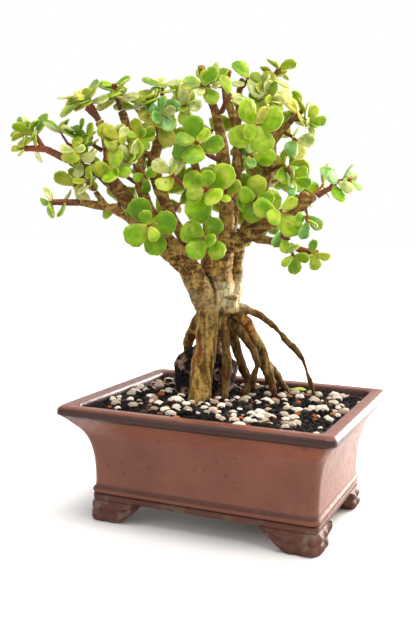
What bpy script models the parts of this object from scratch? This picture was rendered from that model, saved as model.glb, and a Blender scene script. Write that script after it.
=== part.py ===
# Elephant bush bonsai: an old trunk whose roots hold a rock, in a glazed pot on four feet.
# Lengths in this file are millimetres, and become metres where a mesh is made.

import math
import random

import bmesh
import bpy
import numpy as np
from mathutils import Matrix, Vector, noise
from mathutils.bvhtree import BVHTree
from mathutils.geometry import delaunay_2d_cdt

MM = 0.001
GAP = 0.3

POT_LENGTH = 203.0
POT_WIDTH = 166.0
POT_HEIGHT = 88.0
FOOT_HEIGHT = 15.5
FLOOR_TOP = 22.5
DRAIN_DIAMETER = 16.0
DRAIN_SPACING = 80.0
SCREEN_SIDE = 24.0
SCREEN_THICK = 1.0
SCREEN_HOLE = 4.0
SCREEN_PITCH = 6.5

SOIL_EDGE = 82.5
EDGE_DROP = 1.5
EDGE_REACH = 12.0
GRAIN_AT_WALL = 0.3
MOUND_RISE = 4.5
MOUND_AT = (-8.0, -12.0)
MOUND_SPREAD = 40.0
GRAIN_PITCH = 10.2
STONES = 18

TREE_TURN = math.radians(23.0)
POT_AT = (31.4, -1.1)

LEAF_WIDTH = 0.84
LEAF_THICK = 2.0
DROOP = 0.02
# A leaf's root lies inside the stem, this share of its radius from the middle.
ROOT_OUT = 0.2
# A leaf's face looks to the light, turned by this share towards its stem's tip.
TURN_TO_TIP = 0.45
# The crown is an oval: its middle, and how far out the light comes level with that way.
CROWN_MIDDLE = (-20.0, -42.0, 225.0)
CROWN_HALF = (300.0, 16.0, 110.0)

COLOURS = {
    "glaze": ((0.205, 0.092, 0.068), 0.28),
    "mesh": ((0.02, 0.02, 0.02), 0.6),
    "soil": ((0.035, 0.028, 0.024), 0.95),
    "rock": ((0.045, 0.036, 0.034), 0.95),
    "bark": ((0.23, 0.13, 0.055), 0.85),
    "leaf": ((0.20, 0.33, 0.035), 0.35),
}

for old in list(bpy.data.objects):
    bpy.data.objects.remove(old, do_unlink=True)


# Shared tools

def material(name):
    """The named finish, made once."""
    if name in bpy.data.materials:
        return bpy.data.materials[name]
    colour, roughness = COLOURS[name]
    made = bpy.data.materials.new(name)
    made.use_nodes = True
    shader = made.node_tree.nodes["Principled BSDF"]
    shader.inputs["Base Color"].default_value = (*colour, 1.0)
    shader.inputs["Roughness"].default_value = roughness
    made.diffuse_color = (*colour, 1.0)
    return made


def mesh_object(name, points, faces, finish=None):
    """An object from millimetre points about the pot's middle, closed and facing out."""
    data = bpy.data.meshes.new(name)
    places = [((x + POT_AT[0]) * MM, (y + POT_AT[1]) * MM, z * MM) for x, y, z in points]
    data.from_pydata(places, [], faces)
    shaped = bmesh.new()
    shaped.from_mesh(data)
    bmesh.ops.remove_doubles(shaped, verts=shaped.verts, dist=1e-6)
    bmesh.ops.recalc_face_normals(shaped, faces=shaped.faces)
    shaped.to_mesh(data)
    shaped.free()
    made = bpy.data.objects.new(name, data)
    bpy.context.scene.collection.objects.link(made)
    if finish:
        data.materials.append(material(finish))
    return made


def combine(base, others, operation):
    """Joins or cuts the base with all the others at once, and removes them."""
    group = bpy.data.collections.new("operands")
    bpy.context.scene.collection.children.link(group)
    for other in others:
        group.objects.link(other)
    step = base.modifiers.new("combine", "BOOLEAN")
    step.operation = operation
    step.operand_type = "COLLECTION"
    step.collection = group
    step.solver = "EXACT"
    bpy.context.view_layer.objects.active = base
    bpy.ops.object.modifier_apply(modifier=step.name)
    for other in others:
        bpy.data.objects.remove(other, do_unlink=True)
    bpy.data.collections.remove(group)
    return base


def smooth_round(thing, angle=40.0):
    """Round pieces are shaded smooth and keep their sharp edges."""
    thing.data.shade_smooth()
    thing.data.set_sharp_from_angle(angle=math.radians(angle))


def from_tree(across, near, height):
    """The tree is described from its own front, which is turned on the pot."""
    x = across * math.cos(TREE_TURN) + near * math.sin(TREE_TURN)
    y = across * math.sin(TREE_TURN) - near * math.cos(TREE_TURN)
    return (x, y, height)


def smooth_route(route, step):
    """Points along one smooth curve through the route's own (across, near, height, radius)."""
    knots = np.array(route, float)
    knots[:, :3] = [from_tree(*knot[:3]) for knot in route]
    ends = np.vstack([2 * knots[0] - knots[1], knots, 2 * knots[-1] - knots[-2]])
    found = []
    for before, start, end, after in zip(ends, ends[1:], ends[2:], ends[3:]):
        count = max(1, round(np.linalg.norm((end - start)[:3]) / step))
        for t in np.arange(count) / count:
            pull = (end - before) * t + (2 * before - 5 * start + 4 * end - after) * t**2
            pull += (3 * start - before - 3 * end + after) * t**3
            found.append(start + pull / 2)
    found.append(knots[-1])
    return np.array(found)


def thinned(points, step):
    """Fewer points, as far apart as the step, with both ends kept."""
    count = max(2, round(np.linalg.norm(np.diff(points[:, :3], axis=0), axis=1).sum() / step) + 1)
    return points[np.linspace(0, len(points) - 1, count).round().astype(int)]


def directions(points):
    """The unit direction of travel at each point."""
    ahead = np.gradient(points[:, :3], axis=0)
    return ahead / np.linalg.norm(ahead, axis=1)[:, None]


def rings_along(points, sides, grow=0.0):
    """A ring of corners square to the line at each of its points."""
    ahead = directions(points)
    across = np.cross(ahead[0], (0.31, 0.2, 0.93))
    rings = []
    for point, heading in zip(points, ahead):
        across = across - heading * (across @ heading)
        across /= np.linalg.norm(across)
        rise = np.cross(heading, across)
        turns = np.arange(sides) * 2 * math.pi / sides
        spread = np.outer(np.cos(turns), across) + np.outer(np.sin(turns), rise)
        rings.append(point[:3] + spread * (point[3] + grow))
    return rings


def tube(name, points, sides, grow=0.0):
    """A round bar of changing radius along the points, with flat ends."""
    rings = rings_along(points, sides, grow)
    return mesh_object(name, np.vstack(rings), loft_faces(len(rings), sides))


def loft_faces(rings, sides):
    """Faces that join equal rings one after another, with both ends closed."""
    faces = [tuple(range(sides)), tuple(range((rings - 1) * sides, rings * sides))]
    for k in range(rings - 1):
        for i in range(sides):
            j = (i + 1) % sides
            faces.append((k * sides + i, k * sides + j, (k + 1) * sides + j, (k + 1) * sides + i))
    return faces


def rounded_outline(half_x, half_y, corner, height, along=(1, 1), arc=4):
    """A rectangle with round corners, its long and short sides split into equal lengths."""
    points = []
    for quarter, (sign_x, sign_y) in enumerate(((1, 1), (-1, 1), (-1, -1), (1, -1))):
        centre = (sign_x * (half_x - corner), sign_y * (half_y - corner))
        for k in range(arc):
            angle = math.pi / 2 * (quarter + k / (arc - 1))
            x = centre[0] + corner * math.cos(angle)
            y = centre[1] + corner * math.sin(angle)
            points.append((x, y, height))
        reach = 2 * (half_x - corner if quarter % 2 == 0 else half_y - corner)
        heading = ((-1, 0), (0, -1), (1, 0), (0, 1))[quarter]
        count = along[quarter % 2]
        for k in range(1, count):
            x = points[-1][0] + heading[0] * reach / count
            y = points[-1][1] + heading[1] * reach / count
            points.append((x, y, height))
    return points


def box(name, centre, size, finish=None):
    """A plain box, from the middle of its base."""
    x, y, z = centre
    signs = ((1, 1), (-1, 1), (-1, -1), (1, -1))
    base = [(x + sx * size[0] / 2, y + sy * size[1] / 2) for sx, sy in signs]
    points = [(*corner, z) for corner in base] + [(*corner, z + size[2]) for corner in base]
    return mesh_object(name, points, loft_faces(2, 4), finish)


def upright_bar(name, x, y, low, high, radius, sides):
    """A vertical bar, as a drill would leave."""
    turns = [2 * math.pi * k / sides for k in range(sides)]
    points = [(x + radius * math.cos(t), y + radius * math.sin(t), z) for z in (low, high) for t in turns]
    return mesh_object(name, points, loft_faces(2, sides))


# Pot

# Height, half length, half width and corner radius, up the outside.
OUTSIDE = (
    (15.5, 84.6, 58.4, 6.0),
    (16.3, 85.6, 59.4, 6.0),
    (19.3, 85.6, 59.4, 6.0),
    (20.2, 84.2, 57.8, 5.5),
    (21.2, 85.7, 59.4, 6.0),
    (23.6, 86.0, 59.7, 6.0),
    (26.2, 84.6, 57.9, 5.5),
    (40.0, 84.8, 58.2, 5.5),
    (52.0, 86.0, 59.9, 5.5),
    (61.0, 88.0, 63.0, 6.0),
    (68.0, 90.8, 67.2, 6.0),
    (74.0, 95.0, 73.3, 6.5),
    (79.0, 98.6, 78.8, 7.0),
    (81.4, 101.0, 82.0, 7.5),
    (82.6, POT_LENGTH / 2, POT_WIDTH / 2, 8.0),
    (86.2, POT_LENGTH / 2 - 0.4, POT_WIDTH / 2 - 0.6, 8.0),
    (POT_HEIGHT, POT_LENGTH / 2 - 2.6, POT_WIDTH / 2 - 2.8, 6.5),
)
# The same down the inside, from the rim's inner edge to the floor.
INSIDE = (
    (87.4, 90.6, 72.2, 4.0),
    (85.6, 89.6, 71.1, 3.5),
    (80.0, 89.0, 70.3, 3.5),
    (72.0, 84.6, 63.0, 3.5),
    (58.0, 79.4, 54.4, 3.5),
    (FLOOR_TOP, 76.6, 50.2, 3.5),
)
BAND_HALF = (85.6, 59.4)
BAND_CORNER = 6.0
FOOT_DEEP = 9.0
FOOT_SUNK = 1.6
# Distance from the corner where a bracket starts to rise, and where it meets the band.
FRONT_BRACKET = (22.0, 40.0)
SIDE_BRACKET = (18.0, 29.0)


def bracket_bottom(distance, bracket):
    """The cloud foot's lower edge: flat by the corner, then swept up to the band."""
    start, end = bracket
    share = min(1.0, max(0.0, (distance - start) / (end - start)))
    return (FOOT_HEIGHT + 0.4) * share**1.3


def foot_section(edge, outward, inner, bottom):
    """One slice of a foot: inner face, swelling face, neck, and a top sunk in the base."""
    neck = max(FOOT_HEIGHT, bottom) + 0.3
    rise = neck - bottom
    face = ((0.2, bottom), (2.1, bottom + 0.40 * rise), (1.0, bottom + 0.72 * rise), (-1.0, neck))
    points = [(*inner, bottom)]
    points += [(edge[0] + outward[0] * out, edge[1] + outward[1] * out, z) for out, z in face]
    top = FOOT_HEIGHT + FOOT_SUNK
    points.append((edge[0] - outward[0] * 1.5, edge[1] - outward[1] * 1.5, top))
    points.append((*inner, top))
    return points


def foot(sign_x, sign_y):
    """A bracket foot that turns the pot's corner, longer along the front than the side."""
    half_x, half_y = BAND_HALF
    far_x, far_y = half_x - FOOT_DEEP, half_y - FOOT_DEEP
    sections = []
    for distance in (41.0, 34.0, 27.0, 22.0, BAND_CORNER):
        edge = (half_x - distance, half_y)
        inner = (min(edge[0], far_x), far_y)
        sections.append(foot_section(edge, (0, 1), inner, bracket_bottom(distance, FRONT_BRACKET)))
    for angle in (60.0, 30.0):
        outward = (math.cos(math.radians(angle)), math.sin(math.radians(angle)))
        edge = (half_x - BAND_CORNER * (1 - outward[0]), half_y - BAND_CORNER * (1 - outward[1]))
        sections.append(foot_section(edge, outward, (far_x, far_y), 0.0))
    for distance in (BAND_CORNER, 18.0, 24.0, 30.0):
        edge = (half_x, half_y - distance)
        inner = (far_x, min(edge[1], far_y))
        sections.append(foot_section(edge, (1, 0), inner, bracket_bottom(distance, SIDE_BRACKET)))
    points = [(sign_x * x, sign_y * y, z) for section in sections for x, y, z in section]
    return mesh_object("foot", points, loft_faces(len(sections), len(sections[0])))


def drain_places():
    return ((-DRAIN_SPACING / 2, 0.0), (DRAIN_SPACING / 2, 0.0))


def make_pot():
    rings = [rounded_outline(x, y, corner, z) for z, x, y, corner in OUTSIDE + INSIDE]
    points = [point for ring in rings for point in ring]
    pot = mesh_object("pot", points, loft_faces(len(rings), len(rings[0])), "glaze")
    feet = [foot(sign_x, sign_y) for sign_x in (-1, 1) for sign_y in (-1, 1)]
    combine(pot, feet, "UNION")
    holes = [upright_bar("drain", x, y, FOOT_HEIGHT - 2, FLOOR_TOP + 2, DRAIN_DIAMETER / 2, 16)
             for x, y in drain_places()]
    combine(pot, holes, "DIFFERENCE")
    smooth_round(pot, 32.0)


def make_screens():
    """A square of plastic mesh lies over each drain hole."""
    for side, (x, y) in zip(("left", "right"), drain_places()):
        size = (SCREEN_SIDE, SCREEN_SIDE, SCREEN_THICK)
        screen = box("drain_screen_" + side, (x, y, FLOOR_TOP + GAP), size, "mesh")
        holes = []
        for column in (-1, 0, 1):
            for row in (-1, 0, 1):
                place = (x + column * SCREEN_PITCH, y + row * SCREEN_PITCH, FLOOR_TOP)
                holes.append(box("hole", place, (SCREEN_HOLE, SCREEN_HOLE, 2 * SCREEN_THICK)))
        combine(screen, holes, "DIFFERENCE")


# Rock, roots and wood, from the tree's own front: across, near, height and radius

LIMBS = (
    # bole
    ((-12, -13, 143, 8), (-10, -14, 153, 12.5), (-9, -14, 163, 12.5), (-12, -14, 175, 12),
     (-13, -13, 187, 11.5), (-9, -11, 197, 10), (-5, -9, 206, 8)),
    # healed cut low on the bole
    ((-2, -8, 152, 7), (-2, -3, 157, 7.5), (-2, -6, 164, 5.5)),
    # great left limb, to its cut end
    ((-18, -9, 152, 8.5), (-23, -3, 166, 8.8), (-30, 0, 180, 8.2), (-38, -1, 193, 7.4),
     (-49, -4, 204, 6.2), (-61, -7, 215, 5.8), (-74, -9, 228, 5.6), (-88, -11, 244, 5.4),
     (-98, -12, 253, 4.4), (-110, -14, 256, 3.4), (-122, -16, 262, 3.1)),
    # lower left limb and its stub
    ((-31, -2, 179, 4.5), (-40, 0, 186, 3.6), (-50, 2, 195, 3.2), (-59, 3, 203, 3), (-71, 4, 215, 2.9),
     (-80, 4, 223, 3), (-88, 3, 227, 3.2), (-99, 2, 229, 2.9), (-112, 0, 231, 2.6)),
    ((-93, 3, 229, 2.4), (-96, 4, 234, 2.2), (-100, 5, 239, 2.3)),
    # left centre limb and its fork
    ((-32, -14, 197, 5.5), (-37, -16, 206, 4.6), (-45, -20, 220, 4), (-52, -23, 234, 4.6),
     (-57, -25, 247, 5), (-61, -27, 262, 4.6), (-58, -28, 273, 4), (-55, -29, 286, 3.4),
     (-54, -30, 308, 3.3)),
    ((-60, -8, 216, 4.2), (-64, -12, 230, 4.2), (-68, -14, 241, 4.4), (-70, -16, 252, 4.4),
     (-71, -18, 265, 4), (-75, -19, 276, 3.6), (-80, -20, 288, 3.5), (-84, -21, 299, 3)),
    ((-63, -26, 267, 2.6), (-70, -20, 270, 2.4), (-84, -14, 269, 2.3), (-96, -12, 269, 2.3)),
    # upright on the left limb
    ((-90, -11, 246, 3.6), (-93, -9, 259, 3.4), (-93, -8, 271, 3.3), (-95, -8, 283, 3.3),
     (-99, -8, 290, 3.3)),
    # two centre limbs with their forks
    ((-7, -8, 203, 6.5), (-5, -7, 216, 5.8), (-5, -6, 233, 5.3), (-7, -6, 251, 5.3), (-9, -6, 270, 4.6),
     (-11, -6, 286, 3.6), (-15, -5, 300, 3), (-20, -5, 311, 2.9), (-22, -5, 318, 2.9),
     (-25, -5, 330, 2.6)),
    ((-4, -14, 208, 5.5), (0, -18, 221, 4.4), (1, -20, 238, 4.1), (2, -21, 257, 4), (3, -22, 275, 3.6),
     (1, -23, 291, 3.2), (-4, -23, 304, 2.8), (-8, -23, 316, 2.5), (-4, -24, 330, 2.2)),
    ((2, -23, 288, 2.8), (4, -26, 303, 2.6), (3, -28, 314, 2.5), (6, -29, 325, 2.5)),
    ((-14, -18, 199, 4.5), (-19, -22, 212, 3.6), (-21, -25, 231, 3.2), (-25, -27, 249, 2.8),
     (-30, -28, 263, 2.6), (-35, -28, 279, 2.4), (-36, -28, 294, 2.2), (-35, -28, 303, 2.2)),
    # right limb, its pruned stumps and its low twig
    ((-1, -8, 201, 7), (7, -6, 207, 6.4), (15, -4, 211, 5.6), (22, -2, 216, 5), (29, 0, 219, 4.4),
     (37, 4, 222, 3.6), (45, 7, 227, 3.2), (51, 10, 232, 3.2), (58, 12, 237, 2.4)),
    ((22, 2, 217, 3.5), (27, 8, 225, 3.8)),
    ((49, 10, 231, 3), (50, 10, 235, 3.4), (51, 10, 240, 2.6)),
    ((12, -2, 208, 3.2), (22, 2, 206, 2.8), (32, 5, 204, 2.6)),
    # tall right limb and its fork
    ((-3, -20, 157, 8.5), (2, -26, 167, 6), (3, -29, 180, 5.2), (4, -32, 192, 4.8), (7, -35, 204, 4.6),
     (13, -36, 218, 4.6), (19, -35, 230, 4.6), (23, -34, 243, 4.4), (27, -33, 256, 4.2),
     (29, -32, 269, 4), (28, -32, 282, 3.4), (23, -32, 292, 3), (18, -33, 304, 2.8),
     (23, -34, 313, 2.6), (26, -35, 322, 2.3)),
    ((29, -32, 278, 3), (35, -28, 285, 2.8), (41, -25, 292, 2.6)),
)
ROOTS = (
    ((-17, -7, 156, 8.8), (-18, -6, 141, 8), (-19, -4, 126, 7.8), (-21, -2, 112, 7.8), (-23, 2, 97, 8),
     (-24, 4, 85, 8.2), (-24, 5, 77, 7.6)),
    ((-10, -9, 148, 5), (-6, -6, 138, 2.9), (-4, -4, 124, 2.8), (-3, -3, 112, 2.8), (-4, -2, 102, 2.8),
     (-5, -1, 87, 2.8), (-5, 0, 78, 2.6)),
    ((-1, -20, 150, 5.5), (2, -26, 135, 4.2), (5, -31, 119, 3.6), (10, -34, 104, 3.4), (16, -36, 92, 3.2),
     (20, -37, 82, 3), (22, -38, 76, 2.8)),
    ((3, -15, 150, 5), (11, -16, 143, 4.2), (17, -17, 132, 4), (24, -18, 119, 3.6), (28, -19, 107, 3.2),
     (32, -19, 96, 2.4), (34, -18, 85, 1.9), (35, -17, 77, 1.7)),
    ((4, -13, 142, 2.6), (11, -11, 130, 2.4), (17, -10, 121, 2.2), (20, -9, 113, 2), (20, -9, 105, 1.9),
     (16, -9, 98, 1.8), (11, -10, 91, 1.7), (8, -11, 84, 1.6), (6, -12, 78, 1.5)),
    ((24, -19, 117, 2.8), (31, -24, 106, 2.8), (37, -27, 99, 2.8), (42, -31, 92, 2.6),
     (45, -35, 84, 2.3), (46, -37, 77, 2)),
    ((2, -14, 155, 5), (9, -14, 153, 3), (17, -15, 150, 2.2), (26, -17, 145, 2), (36, -19, 136, 1.9),
     (45, -21, 125, 1.9), (54, -22, 118, 2.4), (56, -22, 113, 1.6), (60, -24, 101, 1.5),
     (65, -27, 88, 1.4), (67, -29, 78, 1.4)),
    ((-21, -16, 150, 5.5), (-28, -25, 136, 4.4), (-33, -34, 124, 3.8), (-34, -43, 112, 3),
     (-33, -49, 99, 2.6), (-32, -52, 87, 2.4), (-31, -54, 78, 2.2)),
    ((-7, -20, 150, 5.5), (-9, -35, 137, 4.6), (-10, -46, 122, 3.8), (-11, -53, 106, 3.2),
     (-12, -59, 90, 2.8), (-12, -62, 78, 2.4)),
    ((3, -22, 150, 5), (13, -30, 137, 3.8), (21, -38, 121, 3.2), (27, -44, 104, 2.8), (32, -50, 89, 2.4),
     (34, -52, 78, 2.2)),
)
WOOD_STEP = 12.0
ROCK_MIDDLE = (-18.5, -23.0, 101.0)
ROCK_HALF = (25.5, 20.0, 25.0)
ROCK_LUMP = 0.16
ROCK_FOOT = 79.0


def sides_for(route):
    """Thick wood is rounder than a twig."""
    widest = max(knot[3] for knot in route)
    return 8 if widest > 7 else 6 if widest > 2.9 else 5


def wood_bars(routes, grow=0.0):
    """One bar for each limb or root."""
    bars = []
    for route in routes:
        bars.append(tube("bar", thinned(smooth_route(route, 1.0), WOOD_STEP), sides_for(route), grow))
    return bars


def rock_body(name, grow=0.0):
    """A lumpy porous stone, flat under its foot."""
    shaped = bmesh.new()
    bmesh.ops.create_icosphere(shaped, subdivisions=3, radius=1.0)
    middle = from_tree(*ROCK_MIDDLE)
    points = []
    for vertex in shaped.verts:
        lumps = noise.noise(vertex.co * 1.7) + 0.5 * noise.noise(vertex.co * 4.3)
        swell = 1.0 + ROCK_LUMP * lumps
        across, near, height = (vertex.co[k] * (swell * ROCK_HALF[k] + grow) for k in range(3))
        offset = from_tree(across, near, height)
        height = max(ROCK_FOOT - grow, middle[2] + offset[2])
        points.append((middle[0] + offset[0], middle[1] + offset[1], height))
    faces = [tuple(v.index for v in face.verts) for face in shaped.faces]
    shaped.free()
    return mesh_object(name, points, faces)


def make_rock():
    """The stone, grooved where the roots lie against it."""
    rock = rock_body("rock")
    rock.data.materials.append(material("rock"))
    combine(rock, wood_bars(ROOTS, grow=GAP + 0.1), "DIFFERENCE")
    smooth_round(rock, 60.0)


# Sprays. Each stem has its route (across, near, height), its first and last radius, the first
# pair's roll about the stem, the pairs' spacing, how far the last pair leans out, and each
# pair's leaf length from the oldest to the youngest.

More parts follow.
